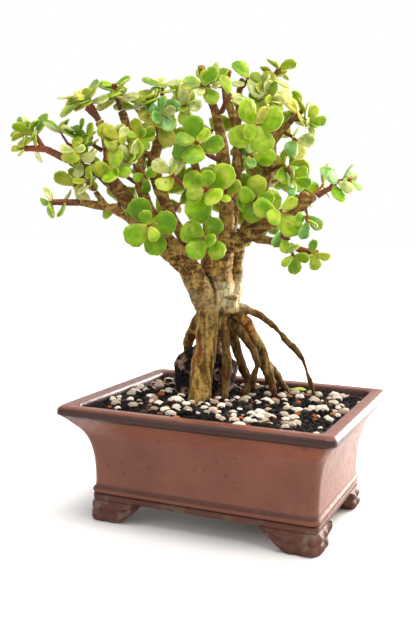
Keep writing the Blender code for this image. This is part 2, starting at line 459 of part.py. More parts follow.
SPRAYS = {
    "left_tip": (
        (((-122, -16, 262), (-133, -18, 267), (-142, -20, 271), (-150, -21, 271), (-158, -22, 271)),
         2.9, 2.1, 150, 9, 90, (12, 10)),
        (((-142, -20, 271), (-147, -22, 279), (-153, -24, 284), (-160, -25, 285)),
         1.9, 1.7, 12, 6, 55, (18, 16, 10)),
    ),
    "left_rosette": (
        (((-110, -14, 257), (-113, -6, 262), (-115, 2, 268)), 1.5, 1.2, 0, 6, 80, (14, 14, 12)),
    ),
    "left_up": (
        (((-105, -13, 260), (-110, -15, 270), (-114, -17, 278), (-115, -18, 284)),
         1.4, 1.0, 45, 6, 50, (13, 16, 11)),
        (((-107, -14, 265), (-118, -16, 270), (-126, -18, 277), (-129, -18, 283)),
         1.1, 0.9, 60, 9, 50, (15,)),
    ),
    "left_fork": (
        (((-96, -12, 269), (-103, -12, 271), (-108, -12, 276)), 1.8, 1.1, 75, 4, 70, (13, 15)),
    ),
    "left_under": (
        (((-107, -13, 255), (-114, -11, 249), (-118, -9, 243)), 1.3, 1.0, 0, 5, 80, (15, 17, 16)),
    ),
    "low_left_tip": (
        (((-112, 0, 231), (-122, -1, 231), (-134, -2, 231)), 2.5, 2.2, 60, 10, 80, (16, 12)),
    ),
    "limb_stub": (
        (((-99, 5, 238), (-103, 7, 243), (-106, 8, 247)), 1.8, 1.4, 30, 4, 60, (13, 11)),
    ),
    "upper_left": (
        (((-99, -8, 290), (-101, -8, 295), (-104, -5, 301), (-106, -2, 306)), 2.6, 1.1, 75, 3, 90, (14, 13)),
        (((-100, -8, 292), (-107, -6, 298), (-110, -5, 302), (-114, -5, 307)),
         2.0, 1.2, 150, 3, 70, (20, 18)),
    ),
    "top_left": (
        (((-84, -21, 299), (-86, -19, 304), (-87, -17, 310), (-89, -15, 318)),
         2.0, 2.0, 75, 5, 80, (17, 16, 13)),
    ),
    "top_mid_low": (
        (((-58, -29, 292), (-62, -27, 301), (-65, -25, 309)), 1.5, 1.1, 15, 4, 70, (17, 15)),
    ),
    "top_mid": (
        (((-54, -30, 308), (-54, -29, 315), (-54, -28, 320)), 2.2, 1.3, 15, 5, 75, (17, 17)),
    ),
    "coral_tip": (
        (((-56, -29, 288), (-54, -18, 292), (-54, -12, 296)), 1.8, 1.5, 30, 5, 90, (20, 12, 16)),
    ),
    "thin_limb_tip": (
        (((-35, -28, 303), (-36, -22, 305), (-38, -14, 302)), 2.0, 1.6, 0, 4, 80, (16, 14, 13)),
    ),
    "tall_stub": (
        (((-20, -5, 311), (-22, 2, 313), (-25, 7, 315)), 1.6, 1.2, 45, 4, 80, (17, 16)),
    ),
    "top_centre": (
        (((-8, -23, 316), (-13, -20, 319), (-17, -17, 322)), 1.4, 1.1, 60, 3, 70, (14, 13)),
    ),
    "top_stub": (
        (((4, -28, 316), (8, -24, 320), (10, -20, 324)), 1.6, 1.2, 105, 4, 90, (13, 20)),
    ),
    "coral_centre": (
        (((-11, -6, 294), (-8, 2, 301), (-5, 6, 306), (-3, 8, 308)), 2.0, 1.6, 105, 5, 70, (15, 15)),
    ),
    "front_rosette_high": (
        (((22, -32, 295), (17, -10, 290), (14, 12, 287)), 2.2, 2.0, 115, 4, 62, (24, 21)),
    ),
    "tall_right_side": (
        (((23, -34, 313), (20, -27, 317), (20, -21, 320)), 1.4, 1.2, 150, 4, 70, (14, 13)),
    ),
    "tall_right_tip": (
        (((26, -35, 322), (29, -35, 328), (34, -35, 334)), 2.2, 1.7, 45, 8, 90, (20, 15)),
    ),
    "pink_node": (
        (((18, -33, 304), (22, -22, 308), (27, -16, 309)), 1.5, 1.3, 105, 4, 50, (18, 14)),
    ),
    "right_tip": (
        (((41, -25, 292), (46, -23, 296), (51, -22, 301)), 2.5, 1.4, 165, 4, 70, (17, 13)),
        (((44, -24, 295), (50, -20, 293), (56, -17, 293)), 1.4, 1.1, 90, 4, 70, (15, 12)),
    ),
    "right_mid": (
        (((36, -28, 286), (42, -21, 283), (46, -14, 278)), 1.5, 1.2, 30, 5, 50, (17, 14)),
    ),
    "right_inner": (
        (((27, -30, 256), (34, -23, 260), (41, -17, 260)), 1.9, 1.6, 150, 4, 70, (16, 13)),
        (((35, -22, 260), (42, -14, 255), (45, -9, 249)), 1.4, 1.1, 45, 5, 40, (14, 15)),
    ),
    "fork_stub": (
        (((25, -31, 259), (17, -22, 263), (11, -15, 268)), 1.8, 1.6, 105, 4, 90, (18, 12)),
    ),
    "front_rosette_right": (
        (((14, -36, 218), (15, -16, 227), (16, 6, 236)), 1.9, 1.5, 85, 6, 62, (21, 19, 14)),
        (((15, -18, 226), (4, -4, 232), (-5, 9, 238)), 1.5, 1.2, 135, 8, 80, (14,)),
    ),
    "front_rosette_mid": (
        (((-5, -6, 231), (-13, 12, 237), (-22, 28, 242)), 2.0, 1.6, 145, 5, 62, (24, 19, 14)),
    ),
    "front_rosette_upper": (
        (((-9, -6, 262), (-19, 6, 266), (-26, 14, 271), (-28, 23, 275)), 1.9, 1.4, 100, 5, 60, (20, 20, 14)),
    ),
    "front_rosette_low": (
        (((-14, -10, 193), (-18, 10, 202), (-21, 26, 208)), 2.1, 1.6, 55, 4, 60, (19, 18, 14)),
    ),
    "left_front_rosette": (
        (((-61, -7, 214), (-61, 6, 215), (-60, 18, 215)), 2.0, 1.5, 25, 5, 65, (22, 21, 12)),
    ),
    "under_left": (
        (((-70, -8, 224), (-71, 1, 226), (-70, 6, 223)), 1.3, 1.0, 0, 5, 30, (17, 12)),
    ),
    "limb_rosette": (
        (((-85, -10, 241), (-87, 1, 249), (-87, 9, 254)), 1.5, 1.3, 80, 3, 60, (15, 15)),
    ),
    "limb_top": (
        (((-69, -16, 252), (-73, -6, 259), (-76, 2, 263)), 1.6, 1.2, 150, 5, 50, (18, 12)),
        (((-73, -7, 258), (-67, -3, 253), (-63, 0, 249)), 1.2, 1.0, 105, 4, 70, (11, 12)),
    ),
    "upper_cluster": (
        (((-75, -19, 276), (-72, -9, 278), (-69, 2, 278)), 1.5, 1.2, 105, 7, 80, (14, 14)),
    ),
    "upper_cluster_side": (
        (((-93, -8, 274), (-88, -1, 278), (-83, 6, 276)), 1.4, 1.1, 45, 6, 90, (15, 12)),
    ),
    "low_right": (
        (((32, 5, 204), (42, 8, 201), (52, 11, 198), (61, 13, 197)), 2.6, 2.1, 0, 8, 90, ()),
        (((41, 8, 201), (43, 13, 198), (43, 17, 194)), 1.3, 1.0, 20, 4, 60, (17, 12)),
        (((55, 12, 198), (57, 16, 196)), 1.2, 1.0, 20, 2, 80, (13,)),
    ),
    "centre_left_rosette": (
        (((-21, -25, 231), (-32, -6, 241), (-41, 6, 247), (-46, 14, 253)), 1.9, 1.5, 165, 5, 55, (16, 15)),
    ),
    "hanging_pair": (
        (((50, 9, 231), (52, 15, 226), (52, 19, 219)), 1.4, 1.2, 60, 5, 50, (14, 13)),
    ),
    "right_leaves": (
        (((29, 0, 219), (31, 9, 224), (33, 15, 227)), 1.8, 1.4, 40, 5, 70, (21, 16)),
        (((31, 9, 224), (35, 12, 215), (36, 14, 207)), 1.3, 1.1, 120, 5, 35, (14, 15)),
    ),
    "right_spray": (
        (((58, 12, 237), (66, 13, 241), (72, 12, 248), (77, 10, 251), (84, 8, 249)),
         2.2, 1.4, 45, 6, 70, (14, 12)),
        (((64, 13, 240), (70, 17, 244), (73, 20, 248)), 1.5, 1.2, 165, 4, 80, (17, 15)),
    ),
    "back_left": (
        (((-49, -5, 204), (-53, -22, 213), (-57, -38, 220), (-60, -52, 226)), 2.4, 1.5, 20, 7, 60, (22, 20)),
        (((-55, -28, 216), (-46, -40, 224), (-41, -51, 232)), 1.7, 1.3, 60, 6, 60, (20,)),
        (((-57, -38, 220), (-69, -44, 227), (-78, -50, 236)), 1.7, 1.3, 100, 6, 60, (20,)),
    ),
    "back_left_end": (
        (((-98, -12, 253), (-99, -26, 257), (-101, -40, 260)), 1.9, 1.3, 30, 6, 60, (18, 16)),
        (((-98, -20, 255), (-107, -34, 262), (-115, -42, 268)), 1.5, 1.2, 75, 6, 60, (18,)),
        (((-99, -26, 257), (-91, -36, 264), (-88, -44, 272)), 1.5, 1.2, 120, 6, 60, (18,)),
    ),
    "back_low_left": (
        (((-84, 4, 225), (-84, -12, 224), (-86, -26, 228), (-88, -38, 234)), 1.9, 1.3, 45, 6, 60, (18, 14)),
    ),
    "back_centre_low": (
        (((-21, -25, 231), (-22, -40, 237), (-22, -54, 243)), 2.2, 1.5, 15, 6, 60, (22, 20)),
        (((-21, -33, 234), (-32, -46, 240), (-40, -56, 248)), 1.7, 1.3, 60, 6, 60, (20, 18)),
        (((-22, -40, 237), (-12, -50, 243), (-6, -58, 252)), 1.7, 1.3, 110, 6, 60, (20,)),
    ),
    "back_centre_high": (
        (((-30, -28, 264), (-31, -42, 270), (-32, -55, 277)), 2.0, 1.4, 40, 6, 60, (20, 18)),
        (((-30, -34, 266), (-42, -46, 274), (-50, -54, 284)), 1.6, 1.2, 0, 6, 60, (18,)),
        (((-31, -42, 270), (-22, -52, 280), (-16, -58, 290)), 1.6, 1.2, 80, 6, 60, (18,)),
    ),
    "back_right": (
        (((23, -34, 243), (26, -48, 249), (28, -62, 254)), 2.2, 1.5, 25, 6, 60, (22, 20)),
        (((24, -40, 246), (38, -52, 252), (47, -60, 260)), 1.7, 1.3, 70, 6, 60, (20, 18)),
        (((26, -48, 249), (16, -56, 258), (11, -62, 267)), 1.6, 1.2, 120, 6, 60, (18,)),
    ),
    "back_right_high": (
        (((28, -32, 282), (31, -46, 288), (33, -58, 295)), 2.0, 1.4, 50, 6, 60, (20, 18)),
        (((29, -38, 285), (41, -48, 294), (49, -55, 303)), 1.5, 1.2, 10, 6, 60, (18,)),
        (((30, -42, 287), (20, -52, 298), (14, -57, 308)), 1.5, 1.2, 90, 6, 60, (18,)),
    ),
    "back_right_low": (
        (((9, -36, 204), (12, -50, 209), (15, -62, 215)), 2.0, 1.4, 35, 6, 60, (20, 18)),
        (((11, -44, 207), (24, -54, 214), (32, -62, 223)), 1.6, 1.2, 80, 6, 60, (18, 16)),
        (((11, -44, 207), (1, -54, 215), (-5, -62, 225)), 1.6, 1.2, 130, 6, 60, (20,)),
    ),
    "back_far_right": (
        (((45, 7, 227), (48, -9, 231), (51, -23, 236), (53, -35, 242)), 2.0, 1.4, 60, 7, 60, (18, 18)),
        (((49, -14, 233), (61, -22, 239), (69, -30, 247)), 1.5, 1.2, 15, 6, 60, (18,)),
    ),
    "back_upper_left": (
        (((-68, -14, 241), (-70, -29, 247), (-73, -43, 254)), 2.0, 1.4, 10, 6, 60, (20, 18)),
        (((-69, -22, 244), (-82, -36, 252), (-90, -44, 262)), 1.6, 1.2, 55, 6, 60, (18, 16)),
    ),
    "back_top": (
        (((-57, -28, 280), (-58, -42, 290), (-60, -53, 300)), 1.9, 1.3, 30, 6, 60, (18, 18)),
        (((-57, -35, 285), (-69, -44, 296), (-77, -50, 306)), 1.5, 1.2, 75, 6, 60, (18,)),
        (((-58, -42, 290), (-48, -48, 302), (-42, -52, 313)), 1.5, 1.2, 120, 6, 60, (16,)),
    ),
}
JOINT_GAP = 0.2
STEM_STEP = 10.0
STEM_SIDES = 4


def stem_route(stem):
    """The stem's smooth line, with its radius falling evenly along it."""
    places, first, last = stem[:3]
    count = len(places) - 1
    knots = [(*place, first + (last - first) * k / count) for k, place in enumerate(places)]
    return smooth_route(knots, 0.5)


def stands_clear(point, wood):
    """Whether a point lies outside the wood, by the joint's gap or more."""
    nearest, normal, _, distance = wood.find_nearest(point)
    return distance > JOINT_GAP and (Vector(point) - nearest).dot(normal) > 0


def stem_from_wood(stem, wood):
    """The stem's line from the place where its flat end stands clear of the wood behind it."""
    route = stem_route(stem)
    for start in range(len(route) - 4):
        line = thinned(route[start:], STEM_STEP)
        if all(stands_clear(corner, wood) for corner in rings_along(line, 8)[0]):
            break
    return line


def stem_lines(stems, wood):
    """A spray's first stem leaves the wood, and the others leave that one."""
    lines = [thinned(stem_route(stem), STEM_STEP) for stem in stems]
    lines[0] = stem_from_wood(stems[0], wood)
    return lines


# Leaves

# The outline, as shares of the length and of the half width, round from the root.
OUTLINE = ((0.0, 0.0), (0.36, 0.86), (0.76, 0.94), (1.0, 0.0), (0.76, -0.94), (0.36, -0.86))


class Leaf:
    """A thick obovate leaf: where its root is, which way it points, which way it faces, its length."""

    def __init__(self, root, heading, face, length, dish):
        self.root = root
        self.heading = heading
        self.face = face
        self.length = length
        self.dish = dish

    def corners(self, grow=0.0):
        """Outline points, then the middle of the upper and of the lower side."""
        side = np.cross(self.face, self.heading)
        half = self.length * LEAF_WIDTH / 2 + grow
        places = []
        for along, out in OUTLINE:
            reach = self.length * along + grow * (2 * along - 1)
            rise = self.dish * self.length * (out * out + 0.6 * max(0.0, along - 0.6))
            places.append(self.root + self.heading * reach + side * out * half + self.face * rise)
        middle = self.root + self.heading * self.length * 0.48
        places.append(middle + self.face * (LEAF_THICK * 0.42 + grow))
        places.append(middle - self.face * (LEAF_THICK * 0.58 + grow))
        return np.array(places)


LEAF_RIM = len(OUTLINE)
LEAF_FACES = [(k, (k + 1) % LEAF_RIM, LEAF_RIM) for k in range(LEAF_RIM)]
LEAF_FACES += [((k + 1) % LEAF_RIM, k, LEAF_RIM + 1) for k in range(LEAF_RIM)]
# Those that don't meet the root.
OUTER_FACES = [face for face in LEAF_FACES if 0 not in face]


def solid_tree(points, faces):
    return BVHTree.FromPolygons([tuple(p) for p in points], faces)


class Crowd:
    """All that is already placed, to keep each new leaf clear of it."""

    def __init__(self):
        self.things = []
        self.leaves = 0

    def add(self, points, faces, owner):
        points = np.array(points)
        middle = (points.min(axis=0) + points.max(axis=0)) / 2
        reach = np.linalg.norm(points - middle, axis=1).max()
        self.things.append((middle, reach, solid_tree(points, faces), owner))

    def crosses(self, leaf, owner):
        points = leaf.corners(grow=0.45)
        whole = solid_tree(points, LEAF_FACES)
        outer = solid_tree(points, OUTER_FACES)
        middle = points.mean(axis=0)
        reach = np.linalg.norm(points - middle, axis=1).max()
        for other_middle, other_reach, tree, other_owner in self.things:
            if np.linalg.norm(other_middle - middle) > reach + other_reach:
                continue
            mine = outer if other_owner == owner else whole
            if mine.overlap(tree):
                return True
        return False


def light_at(point):
    """Where the light comes from, on this side of the crown."""
    offset = point[:3] - np.array(from_tree(*CROWN_MIDDLE))
    light = np.zeros(3)
    for way, half in zip(((1, 0, 0), (0, 1, 0), (0, 0, 1)), CROWN_HALF):
        side = np.array(from_tree(*way))
        light += side * max(-1.0, min(1.0, (offset @ side) / half))
    return light / np.linalg.norm(light)


def leaf_places(line, roll, gap, lean, lengths):
    """Opposite pairs down from the stem's tip, each pair a quarter turn on from the one before."""
    steps = np.linalg.norm(np.diff(line[:, :3], axis=0), axis=1)
    run = np.concatenate([[0.0], np.cumsum(steps)])
    whole = line[-1, :3] - line[0, :3]
    whole /= np.linalg.norm(whole)
    towards = np.array(from_tree(0, 1, 0))
    above = towards if abs(whole[2]) > 0.75 else np.array((0.0, 0.0, 1.0))
    for k, length in enumerate(lengths):
        back = len(lengths) - 1 - k
        along = max(run[-1] - 0.8 - back * gap, min(2.5, run[-1] / 2))
        point = np.array([np.interp(along, run, column) for column in line.T])
        axis = np.array([np.interp(along, run, column) for column in directions(line).T])
        axis /= np.linalg.norm(axis)
        up = above - axis * (above @ axis)
        up /= np.linalg.norm(up)
        across = np.cross(axis, up)
        for half in (0, 180):
            yield point, axis, up, across, roll + 90 * k + half, lean + 8 * back, length


def try_leaf(place, draw, effort):
    """One leaf of a pair, turned by chance a little more with each try."""
    point, axis, up, across, roll, lean, length = place
    roll = math.radians(roll + draw.uniform(-4, 4) + effort * draw.uniform(-7, 7))
    lean = math.radians(min(105, lean + draw.uniform(-5, 5) + effort * draw.uniform(-5, 5)))
    length *= draw.uniform(0.94, 1.06) * (1 - 0.02 * effort)
    out = up * math.cos(roll) + across * math.sin(roll)
    heading = axis * math.cos(lean) + out * math.sin(lean)
    heading[2] -= max(0.0, length - 12) * DROOP
    heading /= np.linalg.norm(heading)
    face = axis * TURN_TO_TIP + light_at(point)
    face -= heading * (face @ heading)
    face /= np.linalg.norm(face)
    root = point[:3] + heading * ROOT_OUT * point[3]
    return Leaf(root, heading, face, length, draw.uniform(0.02, 0.07))


def grow_leaves(lines, stems, owner, crowd):
    """Each leaf is turned until it is clear of all that is there, or left out."""
    leaves = []
    for line, stem in zip(lines, stems):
        for place in leaf_places(line, *stem[3:]):
            crowd.leaves += 1
            draw = random.Random(crowd.leaves)
            for effort in range(14):
                leaf = try_leaf(place, draw, effort)
                if not crowd.crosses(leaf, owner):
                    crowd.add(leaf.corners(), LEAF_FACES, owner)
                    leaves.append(leaf)
                    break
    return leaves


def world_points(thing):
    """An object's corners in millimetres about the pot's middle."""
    points = np.array([vertex.co for vertex in thing.data.vertices]) / MM
    return points - (POT_AT[0], POT_AT[1], 0.0)


def note(crowd, thing, owner):
    """The crowd learns of an object's surface."""
    crowd.add(world_points(thing), [tuple(face.vertices) for face in thing.data.polygons], owner)


def make_tree():
    """Trunk and sprays, each clear of the others."""
    bars = wood_bars(LIMBS) + wood_bars(ROOTS)
    bars[0].name = "trunk"
    trunk = combine(bars[0], bars[1:], "UNION")
    trunk.data.materials.append(material("bark"))
    smooth_round(trunk, 50.0)

    crowd = Crowd()
    note(crowd, trunk, "trunk")
    wood = solid_tree(world_points(trunk), [tuple(face.vertices) for face in trunk.data.polygons])
    parts = {name: stem_lines(stems, wood) for name, stems in SPRAYS.items()}
    bodies = {}
    for name, lines in parts.items():
        bodies[name] = [tube("stem", line, STEM_SIDES) for line in lines]
        for body in bodies[name]:
            note(crowd, body, name)
    for name, lines in parts.items():
        leaves = grow_leaves(lines, SPRAYS[name], name, crowd)
        blades = [mesh_object("leaf", leaf.corners(), LEAF_FACES) for leaf in leaves]
        spray = bodies[name][0]
        spray.name = "spray_" + name
        combine(spray, bodies[name][1:] + blades, "UNION")
        spray.data.materials.append(material("leaf"))
        smooth_round(spray, 60.0)


# Soil

SOIL_HALF = (88.8, 70.2)
SOIL_CORNER = 3.4
SOIL_ALONG = (7, 5)
FALLEN_AT = (54.0, -43.0)
FALLEN_LENGTH = 13.0
FALLEN_TURN = math.radians(20.0)
STONE_AWAY = 2.0


def soil_height(x, y):
    """The mound, with a grain's roughness that fades at the pot's wall and under the fallen leaf."""
    across, near = MOUND_AT
    middle = from_tree(across, near, 0.0)
    away = (x - middle[0]) ** 2 + (y - middle[1]) ** 2
    mound = MOUND_RISE * math.exp(-away / (2 * MOUND_SPREAD**2))
    leaf = from_tree(*FALLEN_AT, 0.0)
    calm = min(1.0, max(0.0, (math.hypot(x - leaf[0], y - leaf[1]) - 8.0) / 8.0))
    fine = noise.noise(Vector((x * 0.31, y * 0.31, 3.0)))
    broad = noise.noise(Vector((x * 0.13, y * 0.13, 9.0)))
    grain = 1.8 * fine + broad
    inward = min(SOIL_HALF[0] - abs(x), SOIL_HALF[1] - abs(y)) / EDGE_REACH
    inward = min(1.0, max(0.0, inward))
    grain *= calm * (GRAIN_AT_WALL + (1.0 - GRAIN_AT_WALL) * inward)
    return SOIL_EDGE - EDGE_DROP * (1.0 - inward) + mound + grain


def soil_surface():
    """The outline and a staggered lattice inside it, joined into triangles."""
    rim = rounded_outline(*SOIL_HALF, SOIL_CORNER, 0.0, along=SOIL_ALONG)
    flat = [Vector((x, y)) for x, y, z in rim]
    rows = int(SOIL_HALF[1] * 2 / (GRAIN_PITCH * 0.866)) + 2
    columns = int(SOIL_HALF[0] * 2 / GRAIN_PITCH) + 2
    draw = random.Random(3)
    for row in range(rows):
        for column in range(columns):
            x = (column - columns / 2 + 0.5 * (row % 2)) * GRAIN_PITCH + draw.uniform(-1, 1)
            y = (row - rows / 2) * GRAIN_PITCH * 0.866 + draw.uniform(-1, 1)
            if abs(x) < SOIL_HALF[0] - 4 and abs(y) < SOIL_HALF[1] - 4:
                flat.append(Vector((x, y)))
    placed, _, faces, _, _, _ = delaunay_2d_cdt(flat, [], [list(range(len(rim)))], 1, 1e-4)
    points = [(p.x, p.y, soil_height(p.x, p.y)) for p in placed]
    return points, [tuple(face) for face in faces], len(rim)


def make_soil():
    """One body of grit that fills the pot, with its stones fused in and plain holes for roots."""
    points, faces, rim = soil_surface()
    ring = list(range(rim))
    for z, half_x, half_y, corner in INSIDE[2:]:
        low = z + GAP if z == FLOOR_TOP else z
        level = rounded_outline(half_x - GAP, half_y - GAP, corner - 0.1, low, along=SOIL_ALONG)
        start = len(points)
        points += level
        below = list(range(start, start + rim))
        for k in range(rim):
            j = (k + 1) % rim
            faces.append((ring[k], ring[j], below[j], below[k]))
        ring = below
    faces.append(tuple(ring))
    soil = mesh_object("soil", points, faces, "soil")
    combine(soil, stones(), "UNION")
    cutters = wood_bars([deeper(route) for route in ROOTS], grow=GAP + 0.1)
    for x, y in drain_places():
        side = SCREEN_SIDE + 2 * GAP
        cutters.append(box("recess", (x, y, FLOOR_TOP - 2), (side, side, 2 + SCREEN_THICK + 2 * GAP)))
    cutters.append(rock_body("hollow", GAP + 0.1))
    combine(soil, cutters, "DIFFERENCE")
    smooth_round(soil, 30.0)


def deeper(route):
    """The hole for a root ends a gap below the root."""
    before, last = route[-2], route[-1]
    length = math.dist(before[:3], last[:3])
    step = [(b - a) * (GAP + 0.1) / length for a, b in zip(before[:3], last[:3])]
    return (*route[:-1], (last[0] + step[0], last[1] + step[1], last[2] + step[2], last[3]))


def stones():
    """Larger stones half sunk in the surface, apart from each other and from roots and rock."""
    draw = random.Random(11)
    roots = np.vstack([smooth_route(route, 3.0) for route in ROOTS])
    roots = roots[roots[:, 2] < 100]
    rock = np.array(from_tree(*ROCK_MIDDLE))
    leaf = np.array(from_tree(*FALLEN_AT, 0.0))
    placed = []
    made = []
    for _ in range(4000):
        if len(made) == STONES:
            break
        size = draw.uniform(2.6, 5.2)
        x = draw.uniform(-1, 1) * (SOIL_HALF[0] - size - 2)
        y = draw.uniform(-1, 1) * (SOIL_HALF[1] - size - 2)
        apart = min((math.hypot(x - px, y - py) - reach for px, py, reach in placed), default=99.0)
        from_roots = (np.hypot(roots[:, 0] - x, roots[:, 1] - y) - roots[:, 3]).min()
        from_rock = math.hypot(x - rock[0], y - rock[1]) - ROCK_HALF[0]
        from_leaf = math.hypot(x - leaf[0], y - leaf[1]) - 10
        if min(apart, from_roots, from_rock, from_leaf) < size + STONE_AWAY:
            continue
        placed.append((x, y, size))
        made.append(stone(x, y, soil_height(x, y) + 0.15 * size, size, draw))
    return made


def stone(x, y, z, size, draw):
    """A chipped pebble of twenty faces."""
    shaped = bmesh.new()
    bmesh.ops.create_icosphere(shaped, subdivisions=1, radius=1.0)
    turn = Matrix.Rotation(draw.uniform(0, math.tau), 3, "Z") @ Matrix.Rotation(draw.uniform(0, 1), 3, "X")
    points = []
    for vertex in shaped.verts:
        chipped = turn @ (vertex.co * draw.uniform(0.8, 1.1))
        chipped *= size
        points.append((x + chipped.x * 1.1, y + chipped.y * 0.85, z + chipped.z * 0.7))
    faces = [tuple(v.index for v in face.verts) for face in shaped.faces]
    shaped.free()
    return mesh_object("stone", points, faces)


def make_fallen_leaf():
    """A shed leaf lies flat on a bare patch of grit."""
    x, y, _ = from_tree(*FALLEN_AT, 0.0)
    heading = np.array((math.cos(FALLEN_TURN), math.sin(FALLEN_TURN), 0.0))
    low = LEAF_THICK * 0.58 + GAP + 0.5
    root = np.array((x, y, soil_height(x, y) + low)) - heading * FALLEN_LENGTH / 2
    leaf = Leaf(root, heading, np.array((0.0, 0.0, 1.0)), FALLEN_LENGTH, 0.03)
    fallen = mesh_object("fallen_leaf", leaf.corners(), LEAF_FACES, "leaf")
    smooth_round(fallen, 60.0)


make_pot()
make_screens()
make_tree()
make_rock()
make_soil()
make_fallen_leaf()
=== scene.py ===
import math
import random

import bmesh
import bpy
import numpy as np
from mathutils import Matrix, Vector, noise
from mathutils.bvhtree import BVHTree


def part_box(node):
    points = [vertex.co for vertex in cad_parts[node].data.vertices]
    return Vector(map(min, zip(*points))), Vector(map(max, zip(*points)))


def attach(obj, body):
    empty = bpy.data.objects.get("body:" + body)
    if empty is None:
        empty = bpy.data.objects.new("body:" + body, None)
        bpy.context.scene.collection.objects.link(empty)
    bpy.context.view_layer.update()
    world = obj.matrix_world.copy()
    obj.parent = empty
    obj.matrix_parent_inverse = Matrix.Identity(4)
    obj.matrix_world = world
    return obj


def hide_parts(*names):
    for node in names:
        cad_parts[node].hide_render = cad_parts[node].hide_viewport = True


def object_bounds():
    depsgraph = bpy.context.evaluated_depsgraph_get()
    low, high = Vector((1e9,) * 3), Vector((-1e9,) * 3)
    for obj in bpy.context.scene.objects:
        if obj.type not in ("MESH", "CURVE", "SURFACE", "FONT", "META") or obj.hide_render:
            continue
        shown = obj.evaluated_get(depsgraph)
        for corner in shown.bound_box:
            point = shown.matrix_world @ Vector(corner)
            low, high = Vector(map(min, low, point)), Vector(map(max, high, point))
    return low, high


# Elephant bush bonsai in its glazed pot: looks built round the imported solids, in metres.
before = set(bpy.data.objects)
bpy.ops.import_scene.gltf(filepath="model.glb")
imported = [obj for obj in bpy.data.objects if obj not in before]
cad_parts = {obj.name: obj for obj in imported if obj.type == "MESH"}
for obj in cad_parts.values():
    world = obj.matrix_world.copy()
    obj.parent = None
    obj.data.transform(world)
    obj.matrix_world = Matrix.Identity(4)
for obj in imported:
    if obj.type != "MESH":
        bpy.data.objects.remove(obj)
cadLow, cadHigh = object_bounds()
mm = 0.001
mergeAt = 0.00001  # corners as close as this are one corner
boxMargin = 0.00005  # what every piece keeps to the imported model's box
potLow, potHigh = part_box("pot")
potMiddle = Vector(((potLow.x + potHigh.x) / 2, (potLow.y + potHigh.y) / 2, 0))


# Helpers

def only(piece):
    # nothing but this piece is selected, and it is the active one
    bpy.ops.object.select_all(action="DESELECT")
    piece.select_set(True)
    bpy.context.view_layer.objects.active = piece


def editing(on):
    bpy.ops.object.mode_set(mode="EDIT" if on else "OBJECT")


def facesOut():
    # in edit mode, turns every face outwards
    bpy.ops.mesh.select_all(action="SELECT")
    bpy.ops.mesh.normals_make_consistent(inside=False)


def finishWith(piece, kind, **settings):
    # adds one modifier, sets it and applies it
    only(piece)
    step = piece.modifiers.new(kind, kind)
    for key, value in settings.items():
        setattr(step, key, value)
    bpy.ops.object.modifier_apply(modifier=step.name)


def combine(piece, other, operation):
    # joins or cuts with another piece, which is then used up
    finishWith(piece, "BOOLEAN", operation=operation, object=other, solver="EXACT")
    bpy.data.objects.remove(other)


def pick(piece, wanted):
    # in edit mode, selects just the vertices that pass the test
    bpy.ops.mesh.select_all(action="DESELECT")
    shaped = bmesh.from_edit_mesh(piece.data)
    for vertex in shaped.verts:
        vertex.select_set(bool(wanted(vertex)))
    shaped.select_flush_mode()
    bmesh.update_edit_mesh(piece.data)


def remesh(piece, voxel, rounds):
    # an even closed mesh with faces of voxel mm, its steps smoothed away
    finishWith(piece, "REMESH", mode="VOXEL", voxel_size=voxel * mm, adaptivity=0.0)
    finishWith(piece, "SMOOTH", factor=0.5, iterations=rounds)


def mergeCorners(piece, turnOut=False):
    # corners that share a place become one
    only(piece)
    editing(True)
    bpy.ops.mesh.select_all(action="SELECT")
    bpy.ops.mesh.remove_doubles(threshold=mergeAt)
    if turnOut:
        facesOut()
    editing(False)


def addObject(name, data):
    made = bpy.data.objects.new(name, data)
    bpy.context.scene.collection.objects.link(made)
    return made


def pieceFrom(name, points, faces):
    data = bpy.data.meshes.new(name)
    data.from_pydata([tuple(place) for place in points], [], faces)
    return addObject(name, data)


def copyOf(node, name):
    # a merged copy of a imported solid, to be made finer
    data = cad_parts[node].data.copy()
    data.materials.clear()
    made = addObject(name, data)
    mergeCorners(made)
    return made


def solidOf(node):
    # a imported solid's merged mesh, to be read
    shaped = bmesh.new()
    shaped.from_mesh(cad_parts[node].data)
    bmesh.ops.remove_doubles(shaped, verts=shaped.verts, dist=mergeAt)
    shaped.verts.ensure_lookup_table()
    return shaped


def rowsOf(values, field):
    found = np.empty(len(values) * 3, np.float32)
    values.foreach_get(field, found)
    return found.reshape(-1, 3).astype(float)


def pointsOf(piece):
    return rowsOf(piece.data.vertices, "co")


def normalsOf(piece):
    return rowsOf(piece.data.vertex_normals, "vector")


def facesOf(piece):
    return [tuple(face.vertices) for face in piece.data.polygons]


def takeShape(piece):
    # keeps a piece's points and faces, and removes the piece
    shape = pointsOf(piece), facesOf(piece)
    bpy.data.objects.remove(piece)
    return shape


def setPoints(piece, points):
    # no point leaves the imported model's box
    inside = np.clip(points, np.array(cadLow) + boxMargin, np.array(cadHigh) - boxMargin)
    piece.data.vertices.foreach_set("co", inside.astype(np.float32).ravel())
    piece.data.update()


def store(piece, name, values, kind="FLOAT"):
    # one number or colour for each vertex
    layer = piece.data.attributes.new(name, kind, "POINT")
    field = "color" if kind == "FLOAT_COLOR" else "value"
    layer.data.foreach_set(field, np.asarray(values, np.float32).ravel())


def surfaceOf(piece):
    # for rays and nearest points
    return BVHTree.FromPolygons([vertex.co for vertex in piece.data.vertices], facesOf(piece))


def hand(piece, finish, slot, *nodes):
    # gives a finished piece its finish and its place in the frame
    if not piece.data.materials:
        piece.data.materials.append(finish)
    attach(piece, "root")
    if nodes:
        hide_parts(*nodes)


def refinish(node, finish):
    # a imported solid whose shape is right
    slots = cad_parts[node].data.materials
    slots.clear()
    slots.append(finish)


